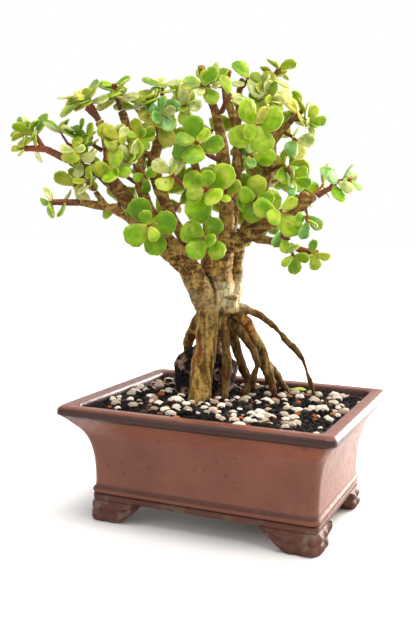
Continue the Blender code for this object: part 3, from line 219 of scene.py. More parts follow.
def rgb(red, green, blue):
    # from screen values to the renderer's own
    def straight(value):
        value /= 255
        return value / 12.92 if value <= 0.04045 else ((value + 0.055) / 1.055) ** 2.4
    return (straight(red), straight(green), straight(blue), 1.0)


# Finishes are built from a few kinds of node

def newFinish(name, **sockets):
    made = bpy.data.materials.new(name)
    made.use_nodes = True
    shader = made.node_tree.nodes["Principled BSDF"]
    for key, value in sockets.items():
        shader.inputs[key.replace("_", " ")].default_value = value
    return made, shader


def feed(made, value, socket):
    # links what comes from a node, and sets what is a plain value
    if isinstance(value, bpy.types.NodeSocket):
        made.node_tree.links.new(value, socket)
    else:
        socket.default_value = value


def addNode(made, kind, sockets=None, **settings):
    added = made.node_tree.nodes.new("ShaderNode" + kind)
    for key, value in settings.items():
        setattr(added, key, value)
    for key, value in (sockets or {}).items():
        feed(made, value, added.inputs[key])
    return added


def stored(made, name, output="Fac"):
    # what store() wrote on the piece
    return addNode(made, "Attribute", attribute_name=name).outputs[output]


def coords(made, scale=(1, 1, 1)):
    place = addNode(made, "TexCoord").outputs["Object"]
    return addNode(made, "Mapping", {"Vector": place, "Scale": scale}).outputs["Vector"]


def grain(made, place, scale, detail=5.0, rough=0.55):
    settings = {"Vector": place, "Scale": scale, "Detail": detail, "Roughness": rough}
    return addNode(made, "TexNoise", settings).outputs["Fac"]


def band(made, value, low, high):
    # 0 at low, 1 at high
    return addNode(made, "MapRange", {"Value": value, "From Min": low, "From Max": high}).outputs[0]


def mixed(made, share, first, second):
    return addNode(made, "Mix", {0: share, 6: first, 7: second}, data_type="RGBA").outputs[2]


def times(made, first, second):
    return addNode(made, "Math", {0: first, 1: second}, operation="MULTIPLY").outputs[0]


def plus(made, first, second):
    return addNode(made, "Math", {0: first, 1: second}, operation="ADD").outputs[0]


def layered(made, colour, *layers):
    # each layer is where it shows, how strongly, and its colour
    for where, strength, tint in layers:
        colour = mixed(made, times(made, where, strength), colour, tint)
    return colour


def belt(made, height, low, lowFull, highFull, high):
    # 1 from lowFull to highFull, and 0 below low and above high
    return times(made, band(made, height, low, lowFull), band(made, height, high, highFull))


def bumped(made, shader, height, distance, strength=1.0, before=None):
    settings = {"Height": height, "Distance": distance, "Strength": strength}
    if before:
        settings["Normal"] = before
    relief = addNode(made, "Bump", settings).outputs[0]
    feed(made, relief, shader.inputs["Normal"])
    return relief


# Camera, floor and light

photo = {"azimuth": 23.08, "elevation": 6.59, "roll": 0.68, "distance": 0.6127,
         "target": (-0.0164, -0.0070, 0.1518), "lens": 47.8, "sensor": 36.0, "nearest": 0.01}
studio = {
    "world": 1.0, "white": rgb(217, 215, 212), "offWhite": rgb(212, 211, 210), "floor": 12.0,
    # the lamps look at a point this high, from this far off
    "middle": 0.16, "reach": 1.1,
    # azimuth, elevation, power, size and colour of each soft box
    "lamps": {
        "key": (80, 52, 8.0, 0.6, (1.0, 0.95, 0.85)),
        "side": (148, 14, 18.0, 0.8, (1.0, 0.94, 0.88)),
        "gleam": (154, -5, 44.0, 0.75, (1.0, 0.90, 0.86)),
        "fill": (-24, 24, 1.5, 0.4, (0.86, 0.93, 1.0)),
    },
    # azimuth, elevation, strength and angle
    "sun": (20, 75, 2.0, 24),
}


def aimFrom(azimuth, elevation):
    a, e = math.radians(azimuth), math.radians(elevation)
    return Vector((math.sin(a) * math.cos(e), -math.cos(a) * math.cos(e), math.sin(e)))


def makeCamera():
    back = aimFrom(photo["azimuth"], photo["elevation"])
    right = (-back).cross(Vector((0, 0, 1))).normalized()
    up = right.cross(-back)
    roll = math.radians(photo["roll"])
    side = right * math.cos(roll) + up * math.sin(roll)
    top = up * math.cos(roll) - right * math.sin(roll)
    lens = bpy.data.cameras.new("photoCamera")
    lens.lens = photo["lens"]
    lens.sensor_width = photo["sensor"]
    lens.clip_start = photo["nearest"]
    camera = addObject("photoCamera", lens)
    turned = Matrix((side, top, back)).transposed().to_4x4()
    turned.translation = potMiddle + Vector(photo["target"]) + back * photo["distance"]
    camera.matrix_world = turned
    bpy.context.scene.camera = camera


def addLamp(name, kind, azimuth, elevation, power, colour=(1, 1, 1)):
    data = bpy.data.lights.new(name, kind)
    data.energy = power
    data.color = colour
    lamp = addObject(name, data)
    aim = aimFrom(azimuth, elevation)
    lamp.location = potMiddle + Vector((0, 0, studio["middle"])) + aim * studio["reach"]
    lamp.rotation_mode = "QUATERNION"
    lamp.rotation_quaternion = aim.to_track_quat("Z", "Y")
    return data


def makeStudio():
    bpy.ops.mesh.primitive_plane_add(size=studio["floor"], location=(0, 0, 0))
    floor = bpy.context.object
    floor.name = "floor"
    made, shader = newFinish("paleFloor", Roughness=0.9)
    tint = grain(made, coords(made), 3.0)
    feed(made, mixed(made, tint, studio["white"], studio["offWhite"]), shader.inputs["Base Color"])
    floor.data.materials.append(made)
    world = bpy.data.worlds.new("studio")
    world.use_nodes = True
    sky = world.node_tree.nodes["Background"]
    sky.inputs[0].default_value = (1, 1, 1, 1)
    sky.inputs[1].default_value = studio["world"]
    bpy.context.scene.world = world
    bpy.context.scene.view_settings.view_transform = "Standard"
    for name, (azimuth, elevation, power, size, colour) in studio["lamps"].items():
        addLamp(name, "AREA", azimuth, elevation, power, colour).size = size
    azimuth, elevation, power, spread = studio["sun"]
    addLamp("daylight", "SUN", azimuth, elevation, power).angle = math.radians(spread)


makeCamera()
makeStudio()
print("camera and studio are set")


# Pot

pot = {
    # height, half length and half width in mm, up the outside and down the inside
    "outside": ((15.5, 84.6, 58.4), (16.3, 85.6, 59.4), (19.3, 85.6, 59.4), (20.2, 84.2, 57.8),
                (21.2, 85.7, 59.4), (23.6, 86.0, 59.7), (26.2, 84.6, 57.9), (40.0, 84.8, 58.2),
                (52.0, 86.0, 59.9), (61.0, 88.0, 63.0), (68.0, 90.8, 67.2), (74.0, 95.0, 73.3),
                (79.0, 98.6, 78.8), (81.4, 101.0, 82.0), (82.6, 101.5, 83.0), (86.2, 101.1, 82.4),
                (88.0, 98.9, 80.2)),
    "inside": ((87.4, 90.6, 72.2), (85.6, 89.6, 71.1), (80.0, 89.0, 70.3), (72.0, 84.6, 63.0),
               (58.0, 79.4, 54.4), (22.5, 76.6, 50.2)),
    "outsideSteps": 3, "insideSteps": 2,
    "corner": 6.0, "cornerSteps": 6,
    "drain": 8.0, "drainApart": 80.0, "drainHeight": 19.0, "drillLength": 12.0,
    "softUnder": 42.0,  # an edge under this many degrees is shaded smooth
}
foot = {
    "half": (85.6, 59.4), "corner": 6.0, "deep": 9.0, "height": 15.5, "sunk": 1.6, "tucked": 1.5,
    # from and to how far along each wall the bracket rises, and how its curve bends
    "front": (22.0, 40.0), "side": (18.0, 29.0), "bend": 1.3, "step": 1.0, "turn": 10.0,
    # how far the face stands out at each share of its height: two rolls with a crease between
    "face": ((0.0, -0.3), (0.08, 1.0), (0.2, 1.9), (0.33, 1.9), (0.44, 1.1), (0.5, 0.6), (0.56, 1.0),
             (0.68, 1.7), (0.8, 1.2), (0.92, 0.1), (1.0, -1.0)),
    "lobe": 0.5, "lobeLength": 9.0, "degreesPerMm": 9.0,
}


def smoothRows(rows, steps):
    # more rows along one smooth curve through the given ones
    knots = np.array([rows[0], *rows, rows[-1]], float)
    found = []
    for before, start, end, after in zip(knots, knots[1:], knots[2:], knots[3:]):
        for t in np.arange(steps) / steps:
            pull = (end - before) * t + (2 * before - 5 * start + 4 * end - after) * t**2
            found.append(start + (pull + (3 * start - before - 3 * end + after) * t**3) / 2)
    return [*found, knots[-1]]


def bracketBottom(distance, bracket):
    share = min(1.0, max(0.0, (distance - bracket[0]) / (bracket[1] - bracket[0])))
    return (foot["height"] + 0.4) * share ** foot["bend"]


def footSection(edge, outward, inner, bottom, along):
    # one upright slice: in at the bottom, up the rolled face, and in again above the wall's foot
    rise = max(foot["height"] + 0.3 - bottom, 0.6)
    swell = 1 + foot["lobe"] * math.cos(2 * math.pi * along / foot["lobeLength"])
    points = [(*inner, bottom)]
    for share, out in foot["face"]:
        out = out * swell if out > 0 else out
        points.append((edge[0] + outward[0] * out, edge[1] + outward[1] * out, bottom + share * rise))
    top = foot["height"] + foot["sunk"]
    points.append((edge[0] - outward[0] * foot["tucked"], edge[1] - outward[1] * foot["tucked"], top))
    points.append((*inner, top))
    return points


def makeFoot(signX, signY):
    halfX, halfY = foot["half"]
    corner = foot["corner"]
    farX, farY = halfX - foot["deep"], halfY - foot["deep"]
    sections = []
    for distance in np.arange(foot["front"][1], corner, -foot["step"]):
        edge = (halfX - distance, halfY)
        low = bracketBottom(distance, foot["front"])
        sections.append(footSection(edge, (0, 1), (min(edge[0], farX), farY), low, distance))
    for angle in np.arange(90.0, -1.0, -foot["turn"]):
        outward = (math.cos(math.radians(angle)), math.sin(math.radians(angle)))
        edge = (halfX - corner * (1 - outward[0]), halfY - corner * (1 - outward[1]))
        along = corner + (angle - 45) / foot["degreesPerMm"]
        sections.append(footSection(edge, outward, (farX, farY), 0.0, along))
    for distance in np.arange(corner + foot["step"], foot["side"][1] + foot["step"] / 2, foot["step"]):
        edge = (halfX, halfY - distance)
        low = bracketBottom(distance, foot["side"])
        sections.append(footSection(edge, (1, 0), (farX, min(edge[1], farY)), low, distance))
    count = len(sections[0])
    points = [potMiddle + Vector((signX * x, signY * y, z)) * mm
              for section in sections for x, y, z in section]
    faces = [tuple(range(count)), tuple(range((len(sections) - 1) * count, len(sections) * count))]
    for k in range(len(sections) - 1):
        for i in range(count):
            j = (i + 1) % count
            faces.append((k * count + i, k * count + j, (k + 1) * count + j, (k + 1) * count + i))
    made = pieceFrom("foot", points, faces)
    mergeCorners(made, turnOut=True)
    return made


def makePot():
    # a low block whose top is pulled up row by row to the lip, then down inside to the floor
    rows = smoothRows(pot["outside"], pot["outsideSteps"]) + smoothRows(pot["inside"], pot["insideSteps"])
    z, halfX, halfY = rows[0]
    size = Vector((2 * halfX, 2 * halfY, rows[1][0] - z)) * mm
    half = z * mm + size.z / 2
    bpy.ops.mesh.primitive_cube_add(size=1, location=potMiddle + Vector((0, 0, half)), scale=size)
    body = bpy.context.object
    body.name = "glazedPot"
    only(body)
    bpy.ops.object.transform_apply(location=True, rotation=True, scale=True)
    editing(True)
    pick(body, lambda vertex: vertex.co.z > half)
    middle = potMiddle.copy()
    for before, after in zip([(rows[1][0], halfX, halfY), *rows[1:]], rows[1:]):
        rise = (after[0] - before[0]) * mm
        if rise:
            bpy.ops.mesh.extrude_region_move(TRANSFORM_OT_translate={"value": (0, 0, rise)})
        middle.z = after[0] * mm
        wider = (after[1] / before[1], after[2] / before[2], 1)
        bpy.ops.transform.resize(value=wider, center_override=middle)
    # the four corners are rounded from foot to floor
    bpy.ops.mesh.select_all(action="DESELECT")
    shaped = bmesh.from_edit_mesh(body.data)
    for edge in shaped.edges:
        a, b = (vertex.co - potMiddle for vertex in edge.verts)
        edge.select_set(a.x * b.x > 0 and a.y * b.y > 0)
    bmesh.update_edit_mesh(body.data)
    bpy.ops.mesh.bevel(offset_type="ABSOLUTE", offset=pot["corner"] * mm, segments=pot["cornerSteps"],
                       affect="EDGES", clamp_overlap=False)
    facesOut()
    editing(False)
    for signX in (-1, 1):
        for signY in (-1, 1):
            combine(body, makeFoot(signX, signY), "UNION")
    for side in (-1, 1):
        place = potMiddle + Vector((side * pot["drainApart"] / 2, 0, pot["drainHeight"])) * mm
        bpy.ops.mesh.primitive_cylinder_add(vertices=32, radius=pot["drain"] * mm,
                                            depth=pot["drillLength"] * mm, location=place)
        combine(body, bpy.context.object, "DIFFERENCE")
    only(body)
    bpy.ops.object.shade_smooth_by_angle(angle=math.radians(pot["softUnder"]))
    return body


glaze = {
    "wall": (rgb(98, 53, 38), rgb(116, 67, 51)), "speck": rgb(74, 40, 30), "run": rgb(130, 80, 62),
    # on this line the second colour is painted shade under the lip, and the third a paler painted light for
    # the flare
    "lip": rgb(34, 15, 9), "lipUnderShade": rgb(20, 10, 6), "flare": rgb(134, 80, 62),
    # the first colour on this line is painted shade from the groove under the wall down over the base
    "grooveShade": rgb(52, 34, 28), "bead": rgb(116, 70, 54), "clay": rgb(112, 98, 84),
    # heights in metres: where each belt of colour starts, is full, still is full, and ends
    "lipBelt": (0.0795, 0.0822, 0.0862, 0.0876), "lipUnderShadeBelt": (0.0795, 0.0806, 0.0814, 0.0826),
    "flareBelt": (0.0640, 0.0710, 0.0740, 0.0800), "beadBelt": (0.0206, 0.0216, 0.0238, 0.0246),
    # heights that these start below and are full at
    "grooveShades": (0.0276, 0.0262), "wearAndRidgeLight": (0.0270, 0.0120), "dull": (0.0290, 0.0230),
}


def glazeFinish():
    made, shader = newFinish("brownGlaze", Roughness=0.34, Specular_IOR_Level=0.28,
                             Coat_Weight=0.08, Coat_Roughness=0.08)
    place = coords(made)
    height = addNode(made, "SeparateXYZ", {"Vector": place}).outputs["Z"]
    broad = grain(made, place, 20.0, 4.0)
    fine = grain(made, place, 260.0, 3.0)
    runs = grain(made, coords(made, (1.0, 1.0, 0.12)), 120.0, 3.0)
    wearAndRidgeLight = band(made, grain(made, place, 95.0, 6.0), 0.52, 0.66)
    colour = layered(
        made, mixed(made, band(made, broad, 0.35, 0.68), *glaze["wall"]),
        (band(made, fine, 0.56, 0.74), 0.45, glaze["speck"]),
        (band(made, runs, 0.5, 0.75), 0.25, glaze["run"]),
        # the glaze is thick and dark on the lip; then painted shade under the lip, a paler belt of painted
        # light on the flare, and painted shade from the groove down over the base
        (belt(made, height, *glaze["lipBelt"]), 0.88, glaze["lip"]),
        # painted shade: the lip's underside is darkened
        (belt(made, height, *glaze["lipUnderShadeBelt"]), 0.8, glaze["lipUnderShade"]),
        # painted light: a paler belt where the wall flares out under the lip
        (belt(made, height, *glaze["flareBelt"]), 0.4, glaze["flare"]),
        # painted shade: darker from the groove under the wall down over the base and feet
        (band(made, height, *glaze["grooveShades"]), 0.6, glaze["grooveShade"]),
        (belt(made, height, *glaze["beadBelt"]), 0.7, glaze["bead"]),
        # it has worn to grey clay on the feet and the bead
        (times(made, wearAndRidgeLight, band(made, height, *glaze["wearAndRidgeLight"])), 0.6, glaze["clay"]))
    feed(made, colour, shader.inputs["Base Color"])
    dull = times(made, band(made, height, *glaze["dull"]), 0.45)
    feed(made, plus(made, band(made, fine, 1.15, -0.6), dull), shader.inputs["Roughness"])
    bumped(made, shader, fine, 0.00022, 0.5, bumped(made, shader, broad, 0.0012, 0.45))
    return made


potPiece = makePot()
hand(potPiece, glazeFinish(), "glaze", "pot")
print("pot is thrown:", len(potPiece.data.polygons), "faces")


def meshFinish():
    made, shader = newFinish("plasticMesh", Roughness=0.55)
    weave = grain(made, coords(made), 900.0, 2.0)
    feed(made, mixed(made, weave, rgb(18, 18, 18), rgb(46, 46, 46)), shader.inputs["Base Color"])
    bumped(made, shader, weave, 0.0002, 0.4)
    return made


plasticMesh = meshFinish()
for name in ("drain_screen_left", "drain_screen_right"):
    refinish(name, plasticMesh)


# Wood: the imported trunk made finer, with bark raised on it

bark = {
    "voxel": 0.9, "smooth": 8, "fatten": 0.25,
    # heights in mm: half as rough above fineAbove, and fully a root's bark rootFade below rootTop
    "fineAbove": 205.0, "rootTop": 160.0, "rootFade": 20.0,
    # sizes in mm of lumps, long ridges, rings and scales
    "lump": 10.0, "ridge": 4.2, "ring": 3.4, "scale": 3.0,
    # how often the surface is eased to find its hollows, and from and to which depth they are cut
    "rounds": 60, "hollowFrom": 0.2, "hollowMost": 1.6, "cut": 0.45,
    # mm across: thin from thin down, fully so thinFade less, and unseen where a look meets nothing
    "thin": 8.5, "thinFade": 4.0, "probe": 0.05, "unseen": 20.0,
}


def ridged(place, scale, stretch=1.0):
    spot = Vector((place[0] * scale, place[1] * scale, place[2] * scale * stretch))
    return 1 - 2 * abs(noise.noise(spot))


def hollows(piece, points, outward, rounds):
    # how far each point lies below the surface that its neighbours make, in the same unit
    ends = np.empty(len(piece.data.edges) * 2, np.int32)
    piece.data.edges.foreach_get("vertices", ends)
    first, second = ends.reshape(-1, 2).T
    count = np.bincount(ends, minlength=len(points))[:, None]
    eased = points.copy()
    for _ in range(rounds):
        total = np.zeros_like(eased)
        for axis in range(3):
            total[:, axis] = np.bincount(first, eased[second, axis], len(points))
            total[:, axis] += np.bincount(second, eased[first, axis], len(points))
        eased = total / count
    return ((eased - points) * outward).sum(axis=1)


def thinness(inside, place, away):
    # a look straight through the wood, from just under its surface
    start = Vector(place - away * bark["probe"]) * mm
    across = inside.ray_cast(start, -Vector(away))[3] or bark["unseen"] * mm
    return min(1.0, max(0.0, (bark["thin"] - across / mm) / bark["thinFade"]))


def makeWood():
    wood = copyOf("trunk", "oldWood")
    remesh(wood, bark["voxel"], bark["smooth"])
    points, outward = pointsOf(wood) / mm, normalsOf(wood)
    deep = hollows(wood, points, outward, bark["rounds"])
    inside = surfaceOf(wood)
    raised, wrinkles, thins = [], [], []
    for place, sunk, away in zip(points, deep, outward):
        root = min(1.0, max(0.0, (bark["rootTop"] - place[2]) / bark["rootFade"]))
        lumps = noise.noise(Vector(place) / bark["lump"]) * 1.3
        ridges = ridged(place, 1 / bark["ridge"], 0.16) * root
        rings = ridged(place * (0.35, 0.35, 1.0), 1 / bark["ring"]) * (1 - root) * 0.9
        scales = ridged(place + 40.0, 1 / bark["scale"], 1.2) * 0.5
        wrinkle = ridges + rings + scales
        rough = 1.0 if place[2] < bark["fineAbove"] else 0.5
        cut = bark["cut"] * min(bark["hollowMost"], max(0.0, sunk - bark["hollowFrom"]))
        raised.append(rough * (lumps + wrinkle * 0.6) - cut + bark["fatten"])
        wrinkles.append(wrinkle)
        thins.append(thinness(inside, place, away))
    setPoints(wood, (points + outward * np.array(raised)[:, None]) * mm)
    store(wood, "ridge", wrinkles)
    # hollow also darkens the bark as painted shade in its hollows
    store(wood, "hollow", deep)
    # thin marks thin roots for painted shade in oldBark
    store(wood, "thin", thins)
    only(wood)
    bpy.ops.object.shade_smooth()
    return wood


barkLook = {
    "wood": (rgb(62, 34, 10), rgb(102, 66, 26)), "spot": rgb(142, 112, 58), "fleck": rgb(188, 156, 80),
    # the first colour on this line is painted light that lifts the upper limbs out of the crown's shade
    "limb": rgb(130, 96, 48), "root": (rgb(66, 36, 6), rgb(116, 86, 32)), "streak": rgb(176, 156, 100),
    "rust": rgb(112, 52, 14), "scar": rgb(168, 156, 128), "bare": rgb(196, 190, 150),
    # crest is a painted highlight, and thin, furrow and hollow are painted shade
    "crack": rgb(44, 28, 12), "crest": rgb(190, 158, 84), "thin": rgb(54, 31, 10),
    "furrow": rgb(46, 26, 8), "hollow": rgb(26, 15, 7),
    # heights in metres that the limbs' painted light and the roots' own tones start at and are full at
    "limbs": (0.195, 0.235), "roots": (0.172, 0.140),
    # the low scar's height, and from where to where, off the pot's middle, it turns bare
    "scarBelt": (0.150, 0.158, 0.168, 0.180), "bareFrom": -0.014, "bareFull": -0.005,
}


def barkFinish():
    made, shader = newFinish("oldBark", Roughness=0.8, Specular_IOR_Level=0.15)
    place = coords(made)
    parted = addNode(made, "SeparateXYZ", {"Vector": place})
    across, height = parted.outputs["X"], parted.outputs["Z"]
    upright = coords(made, (1.0, 1.0, 0.3))
    broad = grain(made, place, 45.0, 5.0)
    streak = grain(made, upright, 300.0, 6.0, 0.65)
    patch = grain(made, place, 75.0, 4.0, 0.6)
    spots = grain(made, place, 130.0, 3.0)
    flecks = grain(made, place, 520.0, 3.0, 0.7)
    wood = layered(
        made, mixed(made, band(made, broad, 0.34, 0.66), *barkLook["wood"]),
        (band(made, spots, 0.48, 0.70), 0.4, barkLook["spot"]),
        (band(made, flecks, 0.55, 0.68), 0.55, barkLook["fleck"]),
        # painted light: the upper limbs made paler against the shade of the crown
        (band(made, height, *barkLook["limbs"]), 0.4, barkLook["limb"]))
    # the roots have long pale streaks and patches of rust
    roots = band(made, height, *barkLook["roots"])
    root = layered(
        made, mixed(made, band(made, patch, 0.38, 0.6), *barkLook["root"]),
        (band(made, grain(made, upright, 170.0, 5.0), 0.50, 0.64), 0.7, barkLook["streak"]),
        (band(made, grain(made, upright, 90.0, 3.0), 0.51, 0.63), 1.0, barkLook["rust"]))
    scar = times(made, belt(made, height, *barkLook["scarBelt"]), band(made, patch, 0.42, 0.54))
    bareFrom, bareFull = potMiddle.x + barkLook["bareFrom"], potMiddle.x + barkLook["bareFull"]
    bare = times(made, scar, band(made, across, bareFrom, bareFull))
    # the bark's ridges and streaks: painted highlight on their crests, painted shade in their furrows
    wearAndRidgeLight = plus(made, stored(made, "ridge"), band(made, streak, 0.3, 0.7))
    cells = {"Vector": coords(made, (1.0, 1.0, 0.45)), "Scale": 300.0}
    cracks = addNode(made, "TexVoronoi", cells, feature="DISTANCE_TO_EDGE").outputs["Distance"]
    cracked = times(made, band(made, cracks, 0.16, 0.02), band(made, patch, 0.38, 0.56))
    colour = layered(
        made, mixed(made, roots, wood, root),
        # pale grey where the bole was cut low, and bare wood on the scar's right side
        (scar, 0.35, barkLook["scar"]),
        (bare, 0.8, barkLook["bare"]),
        # cracked plates, painted highlight on the crests, and painted shade in the furrows, the hollows and
        # on thin roots
        (cracked, 0.6, barkLook["crack"]),
        (band(made, wearAndRidgeLight, 1.1, 2.1), 0.7, barkLook["crest"]),
        # painted shade on the thin roots
        (times(made, stored(made, "thin"), roots), 0.7, barkLook["thin"]),
        (band(made, wearAndRidgeLight, 0.4, -0.7), 0.65, barkLook["furrow"]),
        # painted shade in the hollows
        (band(made, stored(made, "hollow"), 0.1, 1.2), 0.9, barkLook["hollow"]))
    feed(made, colour, shader.inputs["Base Color"])
    relief = bumped(made, shader, patch, 0.0015, 0.5)
    relief = bumped(made, shader, band(made, cracks, 0.0, 0.25), 0.0005, 0.7, relief)
    bumped(made, shader, streak, 0.0016, 1.0, relief)
    return made


wood = makeWood()
hand(wood, barkFinish(), "bark", "trunk")
woodSurface = surfaceOf(wood)
print("wood is barked:", len(wood.data.polygons), "faces")


# Rock that the roots hold

rock = {
    "voxel": 0.8, "smooth": 3, "pits": 2.2, "softUnder": 50.0,
    # spacing in mm of the large and small pits, and how near its middle a pit starts
    "large": 5.2, "largeFrom": 0.46, "small": 2.6, "smallFrom": 0.42,
    # size and height in mm of the large and small broken lumps, and how far the whole is sunk
    "lumps": (9.0, 2.6), "crumbs": (3.6, 0.9), "sunk": 0.6,
}


def makeRock():
    stone = copyOf("rock", "lavaRock")
    remesh(stone, rock["voxel"], rock["smooth"])
    points, outward = pointsOf(stone) / mm, normalsOf(stone)
    raised = []
    for place in points:
        spot = Vector(place)
        large = min(0.0, noise.voronoi(spot / rock["large"])[0][0] - rock["largeFrom"]) * 2
        small = min(0.0, noise.voronoi(spot / rock["small"])[0][0] - rock["smallFrom"])
        broken = sum(noise.noise(spot / size) * high for size, high in (rock["lumps"], rock["crumbs"]))
        raised.append(rock["pits"] * (large + small) + broken - rock["sunk"])
    setPoints(stone, (points + outward * np.array(raised)[:, None]) * mm)
    # pit also darkens the pits as painted shade in darkLava
    store(stone, "pit", raised)
    only(stone)
    bpy.ops.object.shade_smooth_by_angle(angle=math.radians(rock["softUnder"]))
    return stone


def rockFinish():
    made, shader = newFinish("darkLava", Roughness=0.85, Specular_IOR_Level=0.2)
    place = coords(made)
    speck = grain(made, place, 240.0, 5.0, 0.7)
    # the lava's own speckle, its pale flecks partly painted glints
    colour = mixed(made, band(made, speck, 0.38, 0.68), rgb(18, 13, 13), rgb(170, 134, 114))
    colour = mixed(made, band(made, grain(made, place, 60.0), 0.55, 0.7), colour, rgb(74, 52, 44))
    # painted shade: darker in the pits
    colour = mixed(made, band(made, stored(made, "pit"), -0.3, -1.0), colour, rgb(14, 11, 11))
    feed(made, colour, shader.inputs["Base Color"])
    bumped(made, shader, speck, 0.002, 1.0)
    return made


rockPiece = makeRock()
hand(rockPiece, rockFinish(), "rock", "rock")
print("rock is pitted:", len(rockPiece.data.polygons), "faces")


# Soil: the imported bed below, loose grit over it

grit = {
    "half": (88.0, 69.4),
    "kinds": (
        # name, pitch, chance, smallest and largest, cuts, share of its size that stands out
        ("darkGrit", 3.1, 1.0, 2.2, 4.6, 1, 0.45),
        ("darkStones", 7.0, 0.6, 3.6, 6.6, 2, 0.48),
        ("palePumice", 6.4, 0.36, 3.0, 8.8, 2, 0.55),
        ("clayCrumbs", 8.4, 0.31, 2.8, 6.0, 2, 0.50),
    ),
    # stones modelled for each kind, and how far their corners are moved, for 1 or 2 cuts
    "shapes": 5, "chipped": {1: 0.13, 2: 0.11},
    # most stones are this share of the way from smallest to largest
    "usual": 0.3, "jitter": (0.05, 0.95), "stretch": ((0.9, 1.4), (0.7, 1.05), (0.7, 1.0)),
    # heights in mm that stones drop from and may lie at, and the room they keep to wood, by size
    "dropped": 200.0, "lowest": 76.0, "clear": 0.3,
}


def modelGrain(cuts, seed):
    # one chipped stone, about 1 across
    bpy.ops.mesh.primitive_ico_sphere_add(subdivisions=cuts, radius=0.5, location=(0, 0, 0))
    stone = bpy.context.object
    editing(True)
    bpy.ops.mesh.select_all(action="SELECT")
    bpy.ops.transform.vertex_random(offset=grit["chipped"][cuts], seed=seed)
    editing(False)
    return takeShape(stone)


def scatter(name, pitch, chance, smallest, largest, cuts, proud, bed, seed):
    # jittered rows of stones, each one its own copy of a modelled stone
    draw = random.Random(seed)
    shapes = [modelGrain(cuts, seed + k) for k in range(grit["shapes"])]
    usual = smallest + grit["usual"] * (largest - smallest)
    points, faces, tones = [], [], []
    count = 0
    halfX, halfY = grit["half"]
    for row in range(int(2 * halfY / pitch) + 1):
        for column in range(int(2 * halfX / pitch) + 1):
            x = -halfX + (column + draw.uniform(*grit["jitter"])) * pitch
            y = -halfY + (row + draw.uniform(*grit["jitter"])) * pitch
            kept = draw.random() < chance
            size = draw.triangular(smallest, largest, usual)
            turn = Matrix.Rotation(draw.uniform(0, 6.28), 3, "Z")
            turn = turn @ Matrix.Rotation(draw.uniform(0, 3.1), 3, "X")
            stretch = np.array([draw.uniform(*span) for span in grit["stretch"]])
            tone = draw.random()
            shape = shapes[draw.randrange(grit["shapes"])]
            if not kept or abs(x) > halfX - size / 3 or abs(y) > halfY - size / 3:
                continue
            top = potMiddle + Vector((x * mm, y * mm, grit["dropped"] * mm))
            hit = bed.ray_cast(top, Vector((0, 0, -1)))[0]
            if hit is None or hit.z < grit["lowest"] * mm:
                continue
            hit.z += (proud - 0.5 * stretch[2]) * size * mm
            if woodSurface.find_nearest(hit)[3] < size * grit["clear"] * mm:
                continue
            stone = (shape[0] @ np.array(turn) * stretch) * size * mm + np.array(hit)
            faces += [tuple(k + count for k in face) for face in shape[1]]
            count += len(stone)
            points.append(stone)
            tones += [tone] * len(stone)
    made = pieceFrom(name, np.vstack(points), faces)
    store(made, "tone", tones)
    return made


def gritFinish(name, dark, mid, pale, rough):
    made, shader = newFinish(name, Roughness=rough, Specular_IOR_Level=0.08)
    tone = stored(made, "tone")
    speck = grain(made, coords(made), 700.0, 4.0, 0.7)
    colour = mixed(made, band(made, tone, 0.0, 0.5), dark, mid)
    colour = mixed(made, band(made, tone, 0.5, 1.0), colour, pale)
    colour = layered(made, colour, (band(made, speck, 0.42, 0.3), 0.55, dark))
    feed(made, colour, shader.inputs["Base Color"])
    bumped(made, shader, speck, 0.0006, 0.7)
    return made


def soilFinish():
    made, shader = newFinish("dampGrit", Roughness=0.95, Specular_IOR_Level=0.08)
    speck = grain(made, coords(made), 420.0, 5.0, 0.7)
    feed(made, mixed(made, speck, rgb(6, 5, 5), rgb(34, 29, 26)), shader.inputs["Base Color"])
    bumped(made, shader, speck, 0.0015, 1.0)
    return made


refinish("soil", soilFinish())
bedSurface = surfaceOf(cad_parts["soil"])
gritColours = {
    "darkGrit": (rgb(6, 5, 5), rgb(18, 15, 14), rgb(40, 34, 30), 0.8),
    "darkStones": (rgb(10, 9, 9), rgb(26, 23, 22), rgb(58, 52, 48), 0.8),
    "palePumice": (rgb(138, 118, 98), rgb(188, 174, 156), rgb(220, 210, 196), 0.9),
    "clayCrumbs": (rgb(92, 46, 26), rgb(142, 78, 42), rgb(168, 112, 72), 0.85),
}
for seed, kind in zip((20, 30, 40, 50), grit["kinds"]):
    stones = scatter(*kind, bedSurface, seed)
    hand(stones, gritFinish(kind[0], *gritColours[kind[0]]), "soil")
    print(kind[0], "is scattered:", len(stones.data.polygons), "faces")


# Leaves: one blade is modelled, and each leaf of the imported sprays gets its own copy

packedLeaf = {
    # its middle's place along it, the rest up to the tip, and its side corners, as shares
    "middle": 0.48, "beyond": 0.52, "sides": ((0.36, 0.86), (0.76, 0.94), (0.76, -0.94), (0.36, -0.86)),
    # in mm: how far apart its two middles are, how far that and a corner may be out, and the
    # shortest way from middle to tip
    "apart": 2.0, "apartError": 0.0006, "cornerError": 0.5, "shortest": 2.0,
    # the least its side corners may fit, its true middle's height in mm over the two, and its
    # tip's height at a full dish, as a share of its length
    "enough": 1.7, "over": 0.16, "dish": 0.24,
}
blade = {
    # each row's place along the leaf and its half width, then its outer edge's step back
    "rows": ((0.0, 0.10, 0.0), (0.09, 0.30, 0.0), (0.27, 0.65, 0.0), (0.5, 0.93, 0.0),
             (0.73, 1.0, 0.0), (0.91, 0.72, -0.012), (1.0, 0.30, -0.04)),
    "columns": 4, "thick": 1.9, "rim": 0.34, "width": 0.84,
    # narrowest share of the full width: round leaves in front, slim ones elsewhere
    "round": 0.86, "slim": 0.66,
    # how much it may bend and twist, and from where its tip lifts
    "bend": 0.12, "twist": 0.05, "tipFrom": 0.6, "tipLift": 0.6,
    # leaves of this length in mm and more are at their full thickness
    "grown": 20.0,
}
